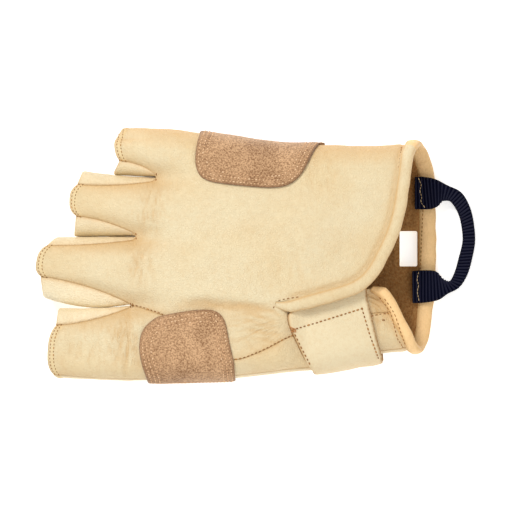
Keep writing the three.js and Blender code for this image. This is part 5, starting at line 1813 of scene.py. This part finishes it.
class GLOVE_OT_patches(bpy.types.Operator):
    """Suede patches over the pinky edge and the crotch of the thumb"""
    bl_idname = "glove.patches"
    bl_label = "Suede patches"

    def execute(self, context):
        thick = sizes()[1]
        look = finishes()["suede"]
        for name in ("palm_patch", "thumb_patch"):
            piece = wall(name + "_suede", patch_surface(name), thick + PATCH_GAP, PATCH_SINK,
                         suede_relief, look, tag=name)
            declare(piece, "suede", name)
        return {"FINISHED"}


class GLOVE_OT_tab(bpy.types.Operator):
    """Wrist tab under the flap, with the pad that closes on it"""
    bl_idname = "glove.tab"
    bl_label = "Wrist tab"

    def execute(self, context):
        thick = sizes()[2]
        piece = wall("wrist_tab_leather", patch_surface("wrist_tab"), thick + PATCH_GAP, PATCH_SINK,
                     tab_relief, finishes()["tab"], tag="wrist_tab")
        declare(piece, "tab_leather", "wrist_tab")
        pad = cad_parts["closure_pad"]
        pad.data.materials.clear()
        pad.data.materials.append(finishes()["hook"])
        return {"FINISHED"}


class GLOVE_OT_loop(bpy.types.Operator):
    """Pull loop of ribbed webbing"""
    bl_idname = "glove.loop"
    bl_label = "Pull loop"

    def execute(self, context):
        s = context.scene.glove_sizes
        look = finishes()["webbing"]
        # Painted shade: the band between the ribs takes the darker ground
        core = loop_core(finishes()["webbing ground"])
        declare(core, "webbing", "pull_loop")
        centre, half, thick, along = loop_frames(int(loop_length() / (s.rib_pitch / MM)))
        for side, name in ((1, "loop_ribs_top"), (-1, "loop_ribs_under")):
            lines = [centre + np.array([0, 0, 1]) * side * (thick / 2 - 0.15)]
            carrier = line_carrier(name + "_line", lines, {"across": half * MM})
            ribs = run_tree(name, carrier, rib_tree(), {
                "Width": s.rib_pitch * 0.66, "Height": 0.0009, "Seed": s.seed, "Yarn": look,
            })
            declare(ribs, "webbing")
        return {"FINISHED"}


def loop_length():
    return float(loop_frames(10)[3][-1])


def loop_core(material):
    """The band itself, with rounded edges."""
    centre, half, thick, _ = loop_frames(220)
    width = np.linalg.norm(half, axis=1, keepdims=True)
    turn = np.linspace(0, 2 * np.pi, 16, endpoint=False)
    out, up = boxy(np.cos(turn), 0.35), boxy(np.sin(turn), 0.6)
    rings = (
        centre[:, None] + unit(half)[:, None] * (out[:, None] * width[:, None])
        + np.array([0, 0, 1]) * (up[:, None] * thick[:, None] / 2)
    )
    return tube("loop_band", rings, {}, material)


# Stitch rows, seen from above
TAB_STITCHES = (
    ((17.2, -34.2), (28.2, -31.0), (40.8, -27.1), (48.8, -24.6)),
    ((48.9, -24.7), (52.5, -36.9), (56.4, -47.3)),
    ((17.3, -34.9), (21.0, -42.6), (24.7, -49.7)),
)
# Close stitches that end a row: on the tab, and beside the lobe's seam a short dark stitch that paints the
# shade in a small hole
KNOTS = (
    ((16.2, -33.2), (18.0, -33.9)), ((16.5, -34.1), (18.2, -34.6)), ((16.6, -35.0), (18.2, -35.2)),
)
HOLE_SHADE = (((58.5, -29.9), (59.1, -29.9)),)
FLAP_STITCHES = (
    ((8.3, -23.9), (9.2, -22.2), (10.6, -20.9), (13.4, -20.1), (21.1, -19.0)),
    ((10.0, -23.4), (12.4, -22.0), (15.2, -21.5)),
    ((67.2, 49.4), (66.0, 42.0), (65.2, 34.4), (64.4, 29.0)),
)
LOBE_STITCHES = (
    ((59.6, -20.6), (62.4, -24.4), (64.6, -28.6), (66.2, -33.6)),
    ((57.3, -19.8), (60.4, -23.8), (62.2, -26.9), (63.2, -29.9),
     (64.1, -34.1), (65.3, -38.5), (67.8, -42.3)),
    ((53.6, -28.0), (57.0, -27.2), (61.2, -26.8)),
)
CUFF_STITCHES = (
    ((77.6, 20.5), (77.3, 13.8), (76.8, 3.9), (76.6, -3.6), (76.4, -6.1)),
    ((64.2, -27.9), (65.9, -32.8), (67.2, -36.8), (68.7, -40.6)),
)
WEBBING_STITCHES = (
    ((75.6, 35.2), (76.7, 32.6), (76.1, 29.6), (77.0, 27.0), (76.5, 24.6), (77.9, 22.6)),
    ((75.4, -8.4), (74.7, -11.2), (75.5, -14.0), (74.8, -17.0), (75.6, -20.6)),
)
# How far the hems' stitches go on over the sides of the hand
HEM_REACH = 4.2


def hem_lines(k, point):
    """Two rows of stitches round the open end of a finger."""
    f = FINGERS[k]
    length = math.dist((f["upper_x"][0], f["upper_y"][0]), (f["upper_x"][2], f["upper_y"][2]))
    v = np.linspace(0.01, 0.99, 40)
    lines = []
    for row in HEM_ROWS:
        line = point(k, row / (length - 2 * f["tip_bulge"] * tip_round(v)), v)[:, :2]
        first, last = line[:1], line[-1:]
        if k == 0:
            line = np.concatenate([first + [0.4, HEM_REACH], line])
        if k == 3:
            line = np.concatenate([line, last - [-0.3, HEM_REACH]])
        lines.append(line)
    return lines


def crotch_lines(k):
    """A short arc of stitches on the back, round the web between two fingers."""
    u = np.linspace(FIRST_COLUMN[k + 1] - 1.8, FIRST_COLUMN[k + 1] - 0.2, 20)
    x, y = crotch_place(u, False)
    return [np.stack([x + 1.3, y], axis=1)]


def inner_rows(outline_points):
    """The outline's three stitch rows, set in from the edge."""
    middle = outline_points.mean(axis=0)
    along = np.roll(outline_points, -1, axis=0) - np.roll(outline_points, 1, axis=0)
    normal = unit(np.stack([-along[:, 1], along[:, 0]], axis=1))
    sign = np.sign(((middle - outline_points) * normal).sum(axis=1).sum())
    closed = np.vstack([outline_points, outline_points[:1]])
    inward = np.vstack([normal, normal[:1]]) * sign
    return [closed + inward * row for row in SUEDE_ROWS]


# The row beside the long seam: its span along X, and how far it lies off the seam
SEAM_THREAD_SPAN = (-56.5, 20)
SEAM_THREAD_OFF = 0.3


class GLOVE_OT_stitches(bpy.types.Operator):
    """Every visible row of stitches"""
    bl_idname = "glove.stitches"
    bl_label = "Stitches"

    def execute(self, context):
        s = context.scene.glove_sizes
        finish = finishes()
        panels = ("back_panel_leather", "index_panel_leather")
        fronts, lobe = skin_of(*panels), skin_of(*panels, "cuff_roll")
        palm, tab = skin_of("palm_panel_leather"), skin_of("wrist_tab_leather")
        pinky, index = skin_of("palm_patch_suede"), skin_of("thumb_patch_suede")
        loop = skin_of("loop_band", "loop_ribs_top")

        def on(skin, lines, down=True, step=0.5):
            return [laid_on(skin, line, down, step) for line in lines]

        def hems(end_of):
            return [line for k in range(4) for line in hem_lines(k, end_of)]

        x = np.linspace(*SEAM_THREAD_SPAN, 90)
        seam = np.stack([x, outline(x, "seam") + SEAM_THREAD_OFF], axis=1)
        arcs = [line for k in range(3) for line in crotch_lines(k)]
        patch_rows = on(pinky, inner_rows(PATCH_BACK)) + on(index, inner_rows(THUMB_PATCH_BACK))
        patch_rows += on(pinky, inner_rows(PATCH_PALM), False)
        # Each thread has its rows, its look, and its shares of the pitch, length and thickness
        threads = {
            "hem_thread": (on(fronts, hems(finger_top)) + on(palm, hems(finger_bottom), False),
                           "thread", 0.82, 0.8, 0.85),
            "seam_thread": (on(fronts, (seam, *arcs, *FLAP_STITCHES)), "thread", 1.0, 1.0, 1.05),
            "cuff_thread": (on(lobe, (*LOBE_STITCHES, *CUFF_STITCHES)), "thread", 1.0, 1.0, 1.0),
            "tab_thread": (on(tab, TAB_STITCHES), "thread", 1.0, 1.05, 1.45),
            "tab_knot": (on(tab, KNOTS, step=0.2), "knot thread", 0.5, 0.9, 1.3),
            # A short dark stitch standing for the shade in a small hole
            "lobe_hole_shade": (on(lobe, HOLE_SHADE, step=0.2), "thread", 0.5, 0.5, 1.6),
            "patch_thread": (patch_rows, "patch thread", 0.85, 0.75, 1.35),
            "loop_thread": (on(loop, WEBBING_STITCHES), "pale thread", 0.75, 1.1, 0.8),
        }
        for name, (laid, look, pitch, length, thickness) in threads.items():
            thread = sew(name, laid, s.stitch_pitch * pitch, s.stitch_length * length,
                         s.stitch_thickness * thickness, finish[look], s.seed)
            declare(thread, None)
        return {"FINISHED"}


# Stage
PHOTO_SPAN = 0.2355
PHOTO_CENTRE = (0.00018, -0.00041)
LENS = 400.0
SENSOR = 36.0
GLOVE_LEVEL = 0.025
FLOOR_GLOW = 0.5
ROOM_TINT = (1.0, 0.99, 0.975, 1.0)
ROOM_LIGHT = 0.66
# Each lamp's place, size and power
LAMPS = {"key": ((-0.5, 0.75, 1.0), 0.5, 10.0), "fill": ((0.5, -0.9, 0.9), 1.0, 5.0)}


class GLOVE_OT_stage(bpy.types.Operator):
    """Pale floor, soft lights and the camera above"""
    bl_idname = "glove.stage"
    bl_label = "Stage"

    def execute(self, context):
        scene = context.scene
        bpy.ops.mesh.primitive_plane_add(size=6.0)
        floor = context.active_object
        floor.name = "floor"
        pale = rgba(scene.glove_colours.floor)
        look, _ = new_material("Floor", {
            "Base Color": pale, "Roughness": 0.9, "Specular IOR Level": 0.1,
            "Emission Color": pale, "Emission Strength": FLOOR_GLOW,
        })
        floor.data.materials.append(look)
        world = bpy.data.worlds.new("Soft room")
        world.use_nodes = True
        background = world.node_tree.nodes["Background"]
        background.inputs["Color"].default_value = ROOM_TINT
        background.inputs["Strength"].default_value = ROOM_LIGHT
        scene.world = world
        for name, (place, size, power) in LAMPS.items():
            light = bpy.data.lights.new(name, "AREA")
            light.shape, light.size, light.energy = "DISK", size, power
            lamp = in_scene(name, light)
            lamp.location = place
            lamp.rotation_euler = (-Vector(place)).to_track_quat("-Z", "Y").to_euler()
        data = bpy.data.cameras.new("camera")
        data.lens, data.sensor_width, data.clip_end = LENS, SENSOR, 20.0
        camera = in_scene("camera", data)
        camera.location = (*PHOTO_CENTRE, GLOVE_LEVEL + PHOTO_SPAN * LENS / SENSOR)
        scene.camera = camera
        scene.view_settings.view_transform = "Standard"
        return {"FINISHED"}


class GLOVE_PT_panel(bpy.types.Panel):
    """Lists the pieces of the glove and its settings"""
    bl_idname = "GLOVE_PT_panel"
    bl_label = "Leather rope glove"
    bl_space_type = "VIEW_3D"
    bl_region_type = "UI"
    bl_category = "Glove"

    def draw(self, context):
        for operator in OPERATORS:
            self.layout.operator(operator.bl_idname)
        for settings in (context.scene.glove_sizes, context.scene.glove_colours):
            column_of = self.layout.column()
            for key in settings.__annotations__:
                column_of.prop(settings, key)


OPERATORS = (
    GLOVE_OT_panels, GLOVE_OT_thumb, GLOVE_OT_rolls, GLOVE_OT_patches, GLOVE_OT_tab, GLOVE_OT_loop,
    GLOVE_OT_stitches, GLOVE_OT_stage,
)
CLASSES = (GloveSizes, GloveColours, *OPERATORS, GLOVE_PT_panel)


def register():
    for cls in CLASSES:
        bpy.utils.register_class(cls)
    bpy.types.Scene.glove_sizes = PointerProperty(type=GloveSizes)
    bpy.types.Scene.glove_colours = PointerProperty(type=GloveColours)


def unregister():
    del bpy.types.Scene.glove_colours
    del bpy.types.Scene.glove_sizes
    for cls in reversed(CLASSES):
        bpy.utils.unregister_class(cls)


def main():
    register()
    bpy.ops.glove.stage()
    bpy.ops.glove.panels()
    bpy.ops.glove.thumb()
    bpy.ops.glove.rolls()
    bpy.ops.glove.patches()
    bpy.ops.glove.tab()
    bpy.ops.glove.loop()
    bpy.ops.glove.stitches()


if __name__ == "__main__":
    main()
